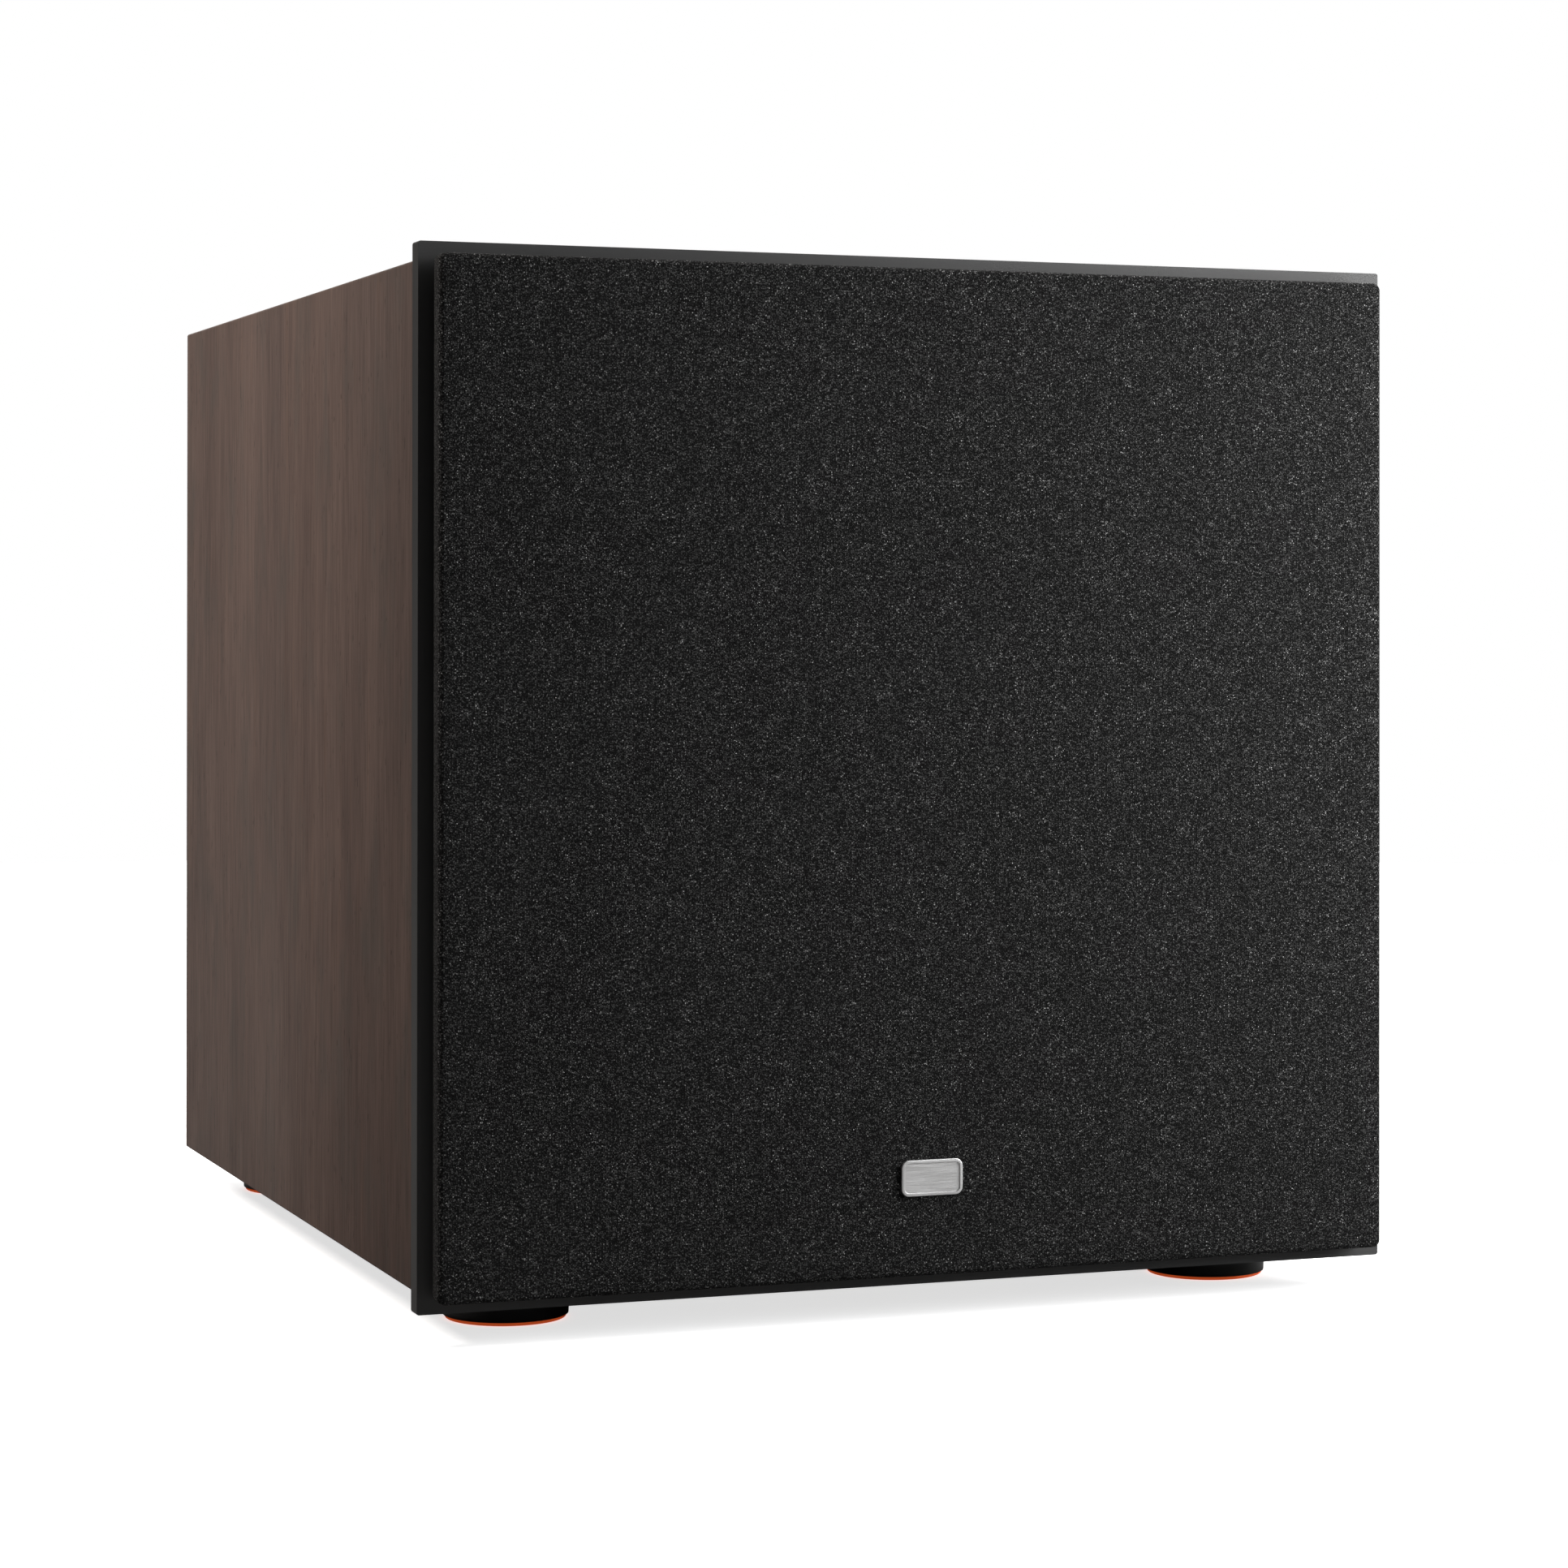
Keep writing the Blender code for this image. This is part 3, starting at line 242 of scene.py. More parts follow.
def speaker_cloth(name):
    """Charcoal knitted cloth: dark gaps, grey loops of uneven shade, and scattered pale loops in short
    slanting rows, denser in some places than in others."""
    material, shader, spot = new_material(name, (0.03, 0.03, 0.03), 0.95, specular=0.10)
    loop = 0.00062

    def cells(size, randomness):
        inputs = {"Vector": spot, "Scale": 1 / size, "Randomness": randomness}
        distance = node("ShaderNodeTexVoronoi", inputs, "Distance")
        chance = node("ShaderNodeSeparateColor", {"Color": distance.node.outputs["Color"]}, 0)
        return distance, chance

    distance, chance = cells(loop, 0.80)
    fleck_distance, fleck_chance = cells(1.05 * loop, 1.0)
    thread = remap(distance, 0.10, 0.62, 1.0, 0.0)
    across = noise(stretch(spot, (260.0, 260.0, 1500.0)), 1.0, 1.0)
    along = noise(stretch(spot, (1500.0, 1500.0, 260.0)), 1.0, 1.0)
    rows = remap(calc("ADD", across, along), 0.75, 1.25, 0.80, 1.20)
    cloudy = remap(noise(spot, 200.0, 4.0, 0.65), 0.35, 0.65, 0.90, 1.10)

    lit = times(calc("POWER", chance, 1.55), thread)
    shade = times(calc("ADD", lit, 0.015), rows)
    shade = times(shade, cloudy)
    gap_shade, yarn_shade, fleck_shade = (0.0015,) * 3, (0.098, 0.098, 0.097), (0.46, 0.46, 0.455)
    yarn = tint(shade, gap_shade, yarn_shade)
    chosen = remap(times(fleck_chance, cloudy), 0.84, 1.03, 0.0, 1.0)
    fleck = times(chosen, remap(fleck_distance, 0.08, 0.45, 1.0, 0.0))
    colour, rough = tint(fleck, yarn, fleck_shade), remap(thread, 0.0, 1.0, 1.0, 0.85)
    connect(shader, colour, rough, times(thread, rows), 0.00018, 0.7)
    return material


def lacquer(name):
    """Satin black lacquer with a faint orange peel."""
    material, shader, spot = new_material(name, (0.006, 0.006, 0.006), 0.61, specular=0.80)
    peel = noise(spot, 700.0)
    dust = noise(spot, 2600.0, 2.0, 0.6)
    slow = noise(spot, 12.0, 3.0, 0.6)
    shade = tint(times(slow, 0.5), (0.002, 0.002, 0.002), (0.007, 0.0068, 0.0065))
    height = calc("ADD", peel, times(dust, 0.35))
    connect(shader, shade, remap(slow, 0.3, 0.7, 0.58, 0.64), height, 0.00002)
    return material


def fibreboard(name):
    """Raw MDF: short felted fibres."""
    material, shader, spot = new_material(name, (0.42, 0.28, 0.16), 0.9, specular=0.2)
    felt = noise(spot, 900.0, 5.0, 0.75)
    slow = noise(spot, 25.0)
    fibres = tint(remap(felt, 0.35, 0.65), (0.30, 0.19, 0.10), (0.52, 0.37, 0.22))
    shade = tint(times(slow, 0.4), fibres, (0.36, 0.23, 0.13))
    connect(shader, shade, remap(felt, 0.3, 0.7, 0.85, 0.98), felt, 0.0002)
    return material


def woven(name, dark, light, thread):
    """Plain woven cloth of one thread size, for the spider and the wadding."""
    material, shader, spot = new_material(name, light, 0.95, specular=0.2, sheen=0.2)
    inputs = {"Vector": spot, "Scale": 1 / thread, "Randomness": 0.5}
    weave = node("ShaderNodeTexVoronoi", inputs, "Distance")
    fuzz = noise(spot, 0.6 / thread, 4.0, 0.7)
    share = times(times(weave, fuzz), 2.2)
    connect(shader, tint(share, light, dark), remap(fuzz, 0.3, 0.7, 0.88, 1.0), weave, 0.4 * thread)
    return material


def cone_paper(name):
    """Pressed fibre: fine radial mottling under a thin dark coat."""
    material, shader, spot = new_material(name, (0.020, 0.020, 0.021), 0.55, specular=0.4)
    felt = noise(spot, 420.0, 4.0, 0.7)
    slow = noise(spot, 40.0)
    share = remap(felt, 0.35, 0.65)
    shade = tint(share, (0.012, 0.012, 0.013), (0.034, 0.034, 0.036))
    connect(shader, shade, remap(slow, 0.3, 0.7, 0.48, 0.64), felt, 0.00012)
    return material


MATERIALS = {
    "wood": wood_vinyl("wood_vinyl", 1),
    "wood_rear": wood_vinyl("wood_vinyl_rear", 0),
    "lacquer": lacquer("satin_black_lacquer"),
    "cloth": speaker_cloth("speaker_cloth"),
    "fibreboard": fibreboard("raw_fibreboard"),
    "wadding": woven("polyester_wadding", (0.50, 0.50, 0.47), (0.78, 0.78, 0.74), 0.0030),
    "spider": woven("dipped_cotton", (0.20, 0.11, 0.03), (0.48, 0.28, 0.09), 0.0009),
    "cone": cone_paper("pressed_fibre"),
    "plastic": moulded("black_plastic", (0.012, 0.012, 0.0125), 0.42),
    "foot": moulded("foot_plastic", (0.006, 0.006, 0.006), 0.34, 0.0004, 0.00001),
    # The orange ring's glow is painted light, in place of the bounce light that would keep it bright.
    "orange": moulded("orange_rubber", (0.80, 0.115, 0.026), 0.50, 0.0005, 0.00002, sheen=0.1, painted_glow=0.40),
    "rubber": moulded("black_rubber", (0.011, 0.011, 0.011), 0.60, 0.0005, 0.00002, sheen=0.1),
    "cast": moulded("black_casting", (0.016, 0.016, 0.018), 0.50, 0.0011, 0.00008),
    "powder": moulded("powder_coat", (0.013, 0.013, 0.0135), 0.50, 0.0007, 0.00006),
    "ferrite": moulded("ferrite", (0.030, 0.029, 0.029), 0.68, 0.0008, 0.00005),
    "board": moulded("solder_mask", (0.012, 0.110, 0.045), 0.38, 0.0010, 0.00002),
    "tape": moulded("winding_tape", (0.52, 0.34, 0.04), 0.35, 0.0012, 0.00004),
    "red": moulded("red_plastic", (0.45, 0.012, 0.010), 0.35),
    "white": moulded("white_plastic", (0.70, 0.70, 0.68), 0.38),
    "print": moulded("white_print", (0.62, 0.62, 0.60), 0.60, 0.0003, 0.000005),
    "lens": moulded("green_lens", (0.02, 0.30, 0.06), 0.15, 0.0020, 0.000002),
    "badge": brushed("badge_aluminium", (0.66, 0.66, 0.66), 0.46, 0),
    "steel": brushed("zinc_plate", (0.55, 0.55, 0.56), 0.38, 1),
    "dark_steel": brushed("black_screw_steel", (0.045, 0.045, 0.048), 0.38, 1, 0.8),
    "nickel": brushed("nickel_plate", (0.66, 0.63, 0.57), 0.25, 1),
    "copper": brushed("enamelled_copper", (0.72, 0.28, 0.12), 0.33, 0),
}


# ---------- mesh building


def finish_piece(piece, material, body, replaced=()):
    """What every new piece needs: its material, its body and the nodes that it stands for."""
    if material:
        piece.data.materials.append(MATERIALS[material])
    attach(piece, body)
    if replaced:
        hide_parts(*replaced)
    return piece


def add_object(name, data, at=(0, 0, 0)):
    made = bpy.data.objects.new(name, data)
    made.location = at
    bpy.context.scene.collection.objects.link(made)
    return made


def object_from(maker, name, at=(0, 0, 0), sharp=40):
    """An object from a bmesh, shaded smooth but for its sharp edges."""
    bmesh.ops.recalc_face_normals(maker, faces=maker.faces)
    mesh = bpy.data.meshes.new(name)
    maker.to_mesh(mesh)
    maker.free()
    mesh.shade_smooth()
    mesh.set_sharp_from_angle(angle=math.radians(sharp))
    return add_object(name, mesh, at)


def soften(outline, steps=4):
    """A closed outline whose points (a, b, radius) are rounded by about that radius. Without one they
    stay sharp."""
    points = []
    for index, point in enumerate(outline):
        here = Vector(point[:2])
        radius = point[2] if len(point) > 2 else 0
        if not radius:
            points.append(tuple(here))
            continue
        before = Vector(outline[index - 1][:2]) - here
        after = Vector(outline[(index + 1) % len(outline)][:2]) - here
        reach = min(radius, 0.49 * before.length, 0.49 * after.length)
        start, end = here + before.normalized() * reach, here + after.normalized() * reach
        for step in range(steps + 1):
            share = step / steps
            curved = start * (1 - share) ** 2 + here * 2 * share * (1 - share) + end * share**2
            points.append(tuple(curved))
    return points


def pairs(ring):
    """Each item of a closed ring with the one after it."""
    return zip(ring, ring[1:] + ring[:1])


def bridge(maker, first, second):
    """The faces between two closed rings of as many points."""
    for (a, b), (c, d) in zip(pairs(first), pairs(second)):
        maker.faces.new((a, b, d, c))


def arc(angle, steps):
    """The cosine and sine at even steps from 0 to the angle."""
    angles = [angle * step / steps for step in range(steps + 1)]
    return [(math.cos(turn), math.sin(turn)) for turn in angles]


def turned_mesh(outline, steps, axis="Y"):
    """A bmesh of a closed outline of (radius, distance along the axis) turned about the axis."""
    maker = bmesh.new()
    rings = []
    for radius, along in outline:
        ring = []
        for step in range(steps if radius > 1e-7 else 1):
            angle = 2 * math.pi * step / steps
            across, up = radius * math.cos(angle), radius * math.sin(angle)
            ring.append(maker.verts.new((across, along, up) if axis == "Y" else (across, up, along)))
        rings.append(ring)
    for first, second in pairs(rings):
        if len(first) == len(second) == 1:
            continue
        for step in range(steps):
            after = step + 1
            face = [first[step % len(first)], first[after % len(first)]]
            face += [second[after % len(second)], second[step % len(second)]]
            maker.faces.new(list(dict.fromkeys(face)))
    return maker


def turned(name, outline, steps, material, at, body, replaced=(), axis="Y"):
    piece = object_from(turned_mesh(soften(outline), steps, axis), name, at)
    return finish_piece(piece, material, body, replaced)


def rounded_rectangle(width, height, radius, steps=6):
    points = []
    for quarter, (side, end) in enumerate(((1, 1), (-1, 1), (-1, -1), (1, -1))):
        middle = (side * (width / 2 - radius), end * (height / 2 - radius))
        for step in range(steps + 1):
            angle = QUARTER_TURN * (quarter + step / steps)
            points.append((middle[0] + radius * math.cos(angle), middle[1] + radius * math.sin(angle)))
    return points


def lofted_mesh(loops, axis="Y"):
    """A bmesh skinned over a row of (outline, distance along the axis), closed at both ends."""
    maker = bmesh.new()
    order = {"X": (2, 0, 1), "Y": (0, 2, 1), "Z": (0, 1, 2)}[axis]
    rings = []
    for outline, along in loops:
        rings.append([maker.verts.new([(a, b, along)[part] for part in order]) for a, b in outline])
    maker.faces.new(rings[0])
    maker.faces.new(rings[-1])
    for first, second in zip(rings, rings[1:]):
        bridge(maker, first, second)
    return maker


def pillow_block(size, radius, edge, low, high):
    """Loops of a slab between two depths, with round corners and a soft front edge at `high`."""
    width, height = size

    def outline(inset):
        return rounded_rectangle(width - 2 * inset, height - 2 * inset, max(radius - inset, 0.00005))

    loops = [(outline(0), low), (outline(0), high - edge)]
    for cosine, sine in arc(QUARTER_TURN, 4)[1:]:
        loops.append((outline(edge * (1 - cosine)), high - edge + edge * sine))
    return loops


def soften_edges(piece, width):
    """Rounds the sharp edges, and keeps the flat faces between them shaded flat."""
    rounding = piece.modifiers.new("soft_edges", "BEVEL")
    rounding.width = width
    rounding.segments = 2
    rounding.limit_method = "ANGLE"
    rounding.angle_limit = math.radians(SHARP)
    flat = piece.modifiers.new("flat_faces", "WEIGHTED_NORMAL")
    flat.mode = "FACE_AREA"
    flat.weight = 100


KEPT = (  # the material, the width of the softened edges, the angle up to which faces are smooth, the nodes
    ("wood", 0, SHARP, "wood_wrap"),
    ("wood_rear", 0.0004, SHARP, "rear_panel"),
    ("fibreboard", 0.0003, 0, "side_panel_left side_panel_right top_panel bottom_panel"),
    ("fibreboard", 0.0008, 0, "side_to_side_brace top_to_bottom_brace"),
    ("powder", 0.0003, 0, "front_board"),
    ("lacquer", 0.0006, SHARP, "front_baffle"),
    ("plastic", 0.0005, SHARP, "grille_frame"),
    ("cast", 0, SHARP, "woofer_basket"),
    ("steel", 0.0004, SHARP, "top_plate"),
    ("ferrite", 0.0010, SHARP, "ring_magnet"),
    ("steel", 0.0005, SHARP, "yoke"),
    ("cone", 0, SHARP, "coil_former"),
    ("copper", 0, SHARP, "voice_coil"),
    ("red", 0, 60, "speaker_lead"),
    ("powder", 0.0004, SHARP, "amp_plate"),
    ("rubber", 0, 0, "amp_gasket"),
    ("powder", 0.00025, 0, "heatsink"),
    ("board", 0.0002, 0, "circuit_board"),
    ("steel", 0.0003, 0, "level_potentiometer crossover_potentiometer"),
    ("plastic", 0.0002, 0, "phase_switch_housing mode_switch_housing"),
    ("nickel", 0.0003, 0, "phase_slider mode_slider"),
    ("plastic", 0.0003, 0, "woofer_terminal rocker_housing fuse_drawer power_inlet"),
)


def keep_nodes():
    """The CAD nodes that stay, with their materials, softer edges and smooth shading."""
    for material, edge, smooth, names in KEPT:
        for name in names.split():
            piece = frame["nodes"][name]
            piece.data.materials.clear()
            piece.data.materials.append(MATERIALS[material])
            weld = piece.modifiers.new("weld", "WELD")
            weld.merge_threshold = WELD_REACH
            if edge:
                soften_edges(piece, edge)
            if smooth:
                piece.data.shade_smooth()
                piece.data.set_sharp_from_angle(angle=math.radians(smooth))


def joined(makers):
    """One bmesh from several (bmesh, matrix)."""
    whole = bmesh.new()
    for maker, matrix in makers:
        bmesh.ops.transform(maker, matrix=matrix, verts=maker.verts)
        part = bpy.data.meshes.new("part")
        maker.to_mesh(part)
        maker.free()
        whole.from_mesh(part)
        bpy.data.meshes.remove(part)
    return whole


# ---------- camera, floor and light


def make_camera():
    """The product view: level, from the front left, far away with a long lens."""
    camera_data = bpy.data.cameras.new("camera")
    camera_data.sensor_width = SENSOR
    camera_data.lens = LENS
    camera_data.shift_y = CAMERA_SHIFT
    lower_edge = Vector((BAFFLE.mid.x, BAFFLE.low.y, BAFFLE.low.z))
    camera = add_object("camera", camera_data, lower_edge + CAMERA_PLACE)
    aim = Matrix.Rotation(-TURN, 4, "Z") @ Matrix.Rotation(QUARTER_TURN + PITCH, 4, "X")
    camera.rotation_euler = (aim @ Matrix.Rotation(ROLL, 4, "Z")).to_euler()
    bpy.context.scene.camera = camera


def softbox(name, at, aim, size, power, colour=(1, 1, 1)):
    data = bpy.data.lights.new(name, "AREA")
    data.shape = "RECTANGLE"
    data.size, data.size_y = size
    data.energy = power
    data.color = colour
    light = add_object(name, data, at)
    light.rotation_euler = (Vector(aim) - Vector(at)).to_track_quat("-Z", "Y").to_euler()
    light.visible_camera = False


def make_stage():
    """A pale floor under a white surround. Both throw back less light than they show, so that the black
    front stays black. The key light is a near upright strip on the right. The others are farther off."""
    maker = bmesh.new()
    bmesh.ops.create_circle(maker, cap_ends=True, radius=FLOOR_RADIUS, segments=FINE)
    floor = object_from(maker, "floor", (0, 0, -SKIN))
    material, shader, spot = new_material("pale_floor", (0.9, 0.9, 0.9), 0.8, specular=0.0)
    tree = material.node_tree
    seen = node("ShaderNodeLightPath", {}, "Is Camera Ray", tree)
    mottle = tint(noise(spot, 3.0), (0.90, 0.90, 0.90), (0.94, 0.94, 0.94))
    tree.links.new(tint(seen, (FLOOR_BOUNCE,) * 3, mottle), shader.inputs["Base Color"])
    shader.inputs["Emission Color"].default_value = (1, 1, 1, 1)
    tree.links.new(times(seen, FLOOR_GLOW), shader.inputs["Emission Strength"])
    floor.data.materials.append(material)

    world = bpy.data.worlds.new("studio")
    bpy.context.scene.world = world
    world.use_nodes = True
    tree = world.node_tree
    background = tree.nodes["Background"]
    seen = node("ShaderNodeLightPath", {}, "Is Camera Ray", tree)
    tree.links.new(tint(seen, WORLD_LIGHT, (1.0, 1.0, 1.0)), background.inputs["Color"])
    background.inputs["Strength"].default_value = 1.0

    softbox("key", (0.62, -0.50, 0.50), (0.05, -0.20, 0.30), (0.30, 0.80), 13.5)
    softbox("front_right", (1.35, -1.60, 1.10), (0.05, -0.24, 0.20), (0.8, 0.8), 8.0)
    softbox("top", (0.3, 0.6, 2.6), MIDDLE, (2.4, 2.4), 40.0)
    softbox("left_fill", (-1.5, 0.15, 2.0), MIDDLE, (0.9, 1.2), 65.0, (1.0, 0.94, 0.90))
    softbox("back_fill", (0.7, 2.6, 1.3), MIDDLE, (1.6, 1.6), 44.0)

    bpy.context.scene.view_settings.view_transform = "Standard"


# ---------- feet and screws


def make_feet():
    """Each foot: a turned black body with a rolled lower edge, its orange ring, and its screw."""
    for row in ("front", "rear"):
        for side in ("left", "right"):
            body_span, pad_span = Span(f"foot_{row}_{side}"), Span(f"foot_pad_{row}_{side}")
            at = (body_span.mid.x, body_span.mid.y, 0)
            radius, pad_radius = body_span.size.x / 2, pad_span.size.x / 2
            low, high = body_span.low.z, body_span.high.z
            recess, roof = 0.0085, 0.0100
            lip_gap, lip, lip_drop = 0.0002, 0.0005, 0.28 * pad_span.size.z
            outline = [
                (radius - 0.0004, high, 0.0003), (radius, high - 0.0006, 0.0003),
                (radius, low + 0.0050, 0.0020), (radius - 0.0003, low + 0.0022, 0.0016),
                (pad_radius + lip_gap + lip, low - lip_drop, 0.0003),
                (pad_radius + lip_gap, low - lip_drop, 0.0001), (pad_radius + lip_gap, low),
                (recess, low, 0.0005), (recess, roof, 0.0005), (0, roof), (0, high),
            ]
            name = f"foot_{row}_{side}"
            turned(f"{name}_body", outline, FINE, "foot", at, "cabinet", [name], "Z")
            hole = 0.0120
            ring = [
                (pad_radius, pad_span.high.z, 0.0002), (pad_radius, pad_span.high.z - 0.0006, 0.0004),
                (pad_radius - 0.0004, pad_span.low.z, 0.0005), (hole, pad_span.low.z, 0.0004),
                (hole, pad_span.high.z, 0.0002),
            ]
            pad = f"foot_pad_{row}_{side}"
            turned(f"{pad}_ring", ring, FINE, "orange", at, "cabinet", [pad], "Z")
            screw_at = Matrix.Translation((at[0], at[1], roof - SKIN)) @ Matrix.Rotation(QUARTER_TURN, 4, "X")
            add_screw(f"foot_screw_{row}_{side}", screw_at, 0.0055, 0.0030)


def screw_mesh(radius, height):
    """A pan-head screw's head with a cross recess, standing along +Y from the origin."""
    outline = [(0, -0.0001), (radius, -0.0001), (radius, 0.25 * height, 0.2 * height)]
    outline += [(0.72 * radius, height, 0.6 * radius), (0, height)]
    maker = turned_mesh(soften(outline), COARSE)
    crown = [face for face in maker.faces if all(abs(v.co.y - height) < 0.02 * height for v in face.verts)]
    bmesh.ops.delete(maker, geom=crown, context="FACES")
    arm, width, depth, taper = 0.50 * radius, 0.13 * radius, 0.55 * height, 0.8
    cross = []
    for c, s in ((1, 0), (0, 1), (-1, 0), (0, -1)):
        cross += [(c * a - s * b, s * a + c * b) for a, b in ((arm, width), (width, width), (width, arm))]
    top = [maker.verts.new((a, height, b)) for a, b in cross]
    bottom = [maker.verts.new((taper * a, height - depth, taper * b)) for a, b in cross]
    edges = [edge for edge in maker.edges if edge.is_boundary]
    edges += [maker.edges.new(pair) for pair in pairs(top)]
    bmesh.ops.triangle_fill(maker, edges=edges, use_beauty=True)
    bridge(maker, top, bottom)
    maker.faces.new(bottom)
    return maker


SCREW_MESHES = {}


def add_screw(name, matrix, radius, height):
    """A dark screw at a matrix whose +Y points out of the face. Screws of one size share their mesh."""
    size = (radius, height)
    if size in SCREW_MESHES:
        piece = add_object(name, SCREW_MESHES[size])
    else:
        piece = object_from(screw_mesh(radius, height), name, sharp=SHARP)
        piece.data.materials.append(MATERIALS["dark_steel"])
        SCREW_MESHES[size] = piece.data
    piece.matrix_world = matrix
    finish_piece(piece, None, "cabinet")


# ---------- grille


def make_cloth():
    """The cloth as one sheet: over the front, round the soft edges, down the sides and glued to the
    back of the frame."""
    width, height = CLOTH.size.x, CLOTH.size.z
    front, back = CLOTH.low.y, CLOTH.high.y
    edge, thick, hem, glue = 0.0020, 0.0005, 0.0130, 0.0001
    corner, least_corner = 0.0030, 0.0004
    fold, fold_loss, fold_share = 0.0006, 0.0004, 0.3  # where the sides turn in to the hem
    lap = back + glue + thick

    def outline(inset):
        return rounded_rectangle(width - 2 * inset, height - 2 * inset, max(corner - inset, least_corner))

    def side(inset, skin):
        """The loops of one face of the cloth, from its middle out to the hem, `skin` inside the outer one."""
        loops = [(outline(reach + skin), front + skin) for reach in (0.150, 0.090, 0.040, 0.012)]
        radius = edge - skin
        for cosine, sine in arc(QUARTER_TURN, 6):
            loops.append((outline(skin + radius * (1 - sine)), front + skin + radius * (1 - cosine)))
        turn = fold - min(skin, fold_loss)
        loops.append((outline(skin), lap - skin - turn))
        loops.append((outline(skin + fold_share * turn), lap - skin - fold_share * turn))
        return loops + [(outline(skin + turn), lap - skin), (outline(inset), lap - skin)]

    outer, inner = side(hem, 0.0), side(hem, thick)
    maker = lofted_mesh(outer + inner[::-1])
    piece = object_from(maker, "cloth_cover", CLOTH.axis, sharp=60)
    finish_piece(piece, "cloth", "grille", ["grille_cloth"])


def make_badge():
    """A plain brushed plate with a raised rim."""
    width, height = BADGE.size.x, BADGE.size.z
    back, front = -BADGE.high.y, -BADGE.low.y
    radius, edge = 0.0030, 0.0003
    rim, rim_slope, dish = 0.0011, 0.0002, 0.00035

    def outline(inset):
        return rounded_rectangle(width - 2 * inset, height - 2 * inset, radius - inset)

    loops = pillow_block((width, height), radius, edge, back, front)
    loops += [(outline(rim), front), (outline(rim + rim_slope), front - dish)]
    maker = lofted_mesh([(shape, -along) for shape, along in loops])
    piece = object_from(maker, "badge_plate", BADGE.axis, sharp=SHARP)
    finish_piece(piece, "badge", "grille", ["badge"])


def make_grille():
    make_cloth()
    make_badge()
    for end in ("bottom", "top"):
        for side in ("left", "right"):
            node_name = f"grille_socket_{end}_{side}"
            span = Span(node_name)
            bore, barrel, collar = 0.0031, 0.0050, span.size.x / 2
            face = BAFFLE.low.y - SKIN
            outline = [
                (bore, span.low.y, 0.0008), (collar, span.low.y, 0.0006), (collar, face, 0.0001),
                (barrel, face), (barrel, span.high.y, 0.0003), (bore, span.high.y, 0.0003),
            ]
            cup = f"{node_name}_cup"
            turned(cup, outline, COARSE, "rubber", span.axis, "cabinet", [node_name])


# ---------- driver


def suspension(name, outline, steps, material, node_name):
    """A turned piece between the basket and the cone."""
    piece = object_from(turned_mesh(soften(outline), steps), name, DRIVER, sharp=60)
    piece.data.materials.append(MATERIALS[material])
    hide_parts(node_name)
    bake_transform(piece)


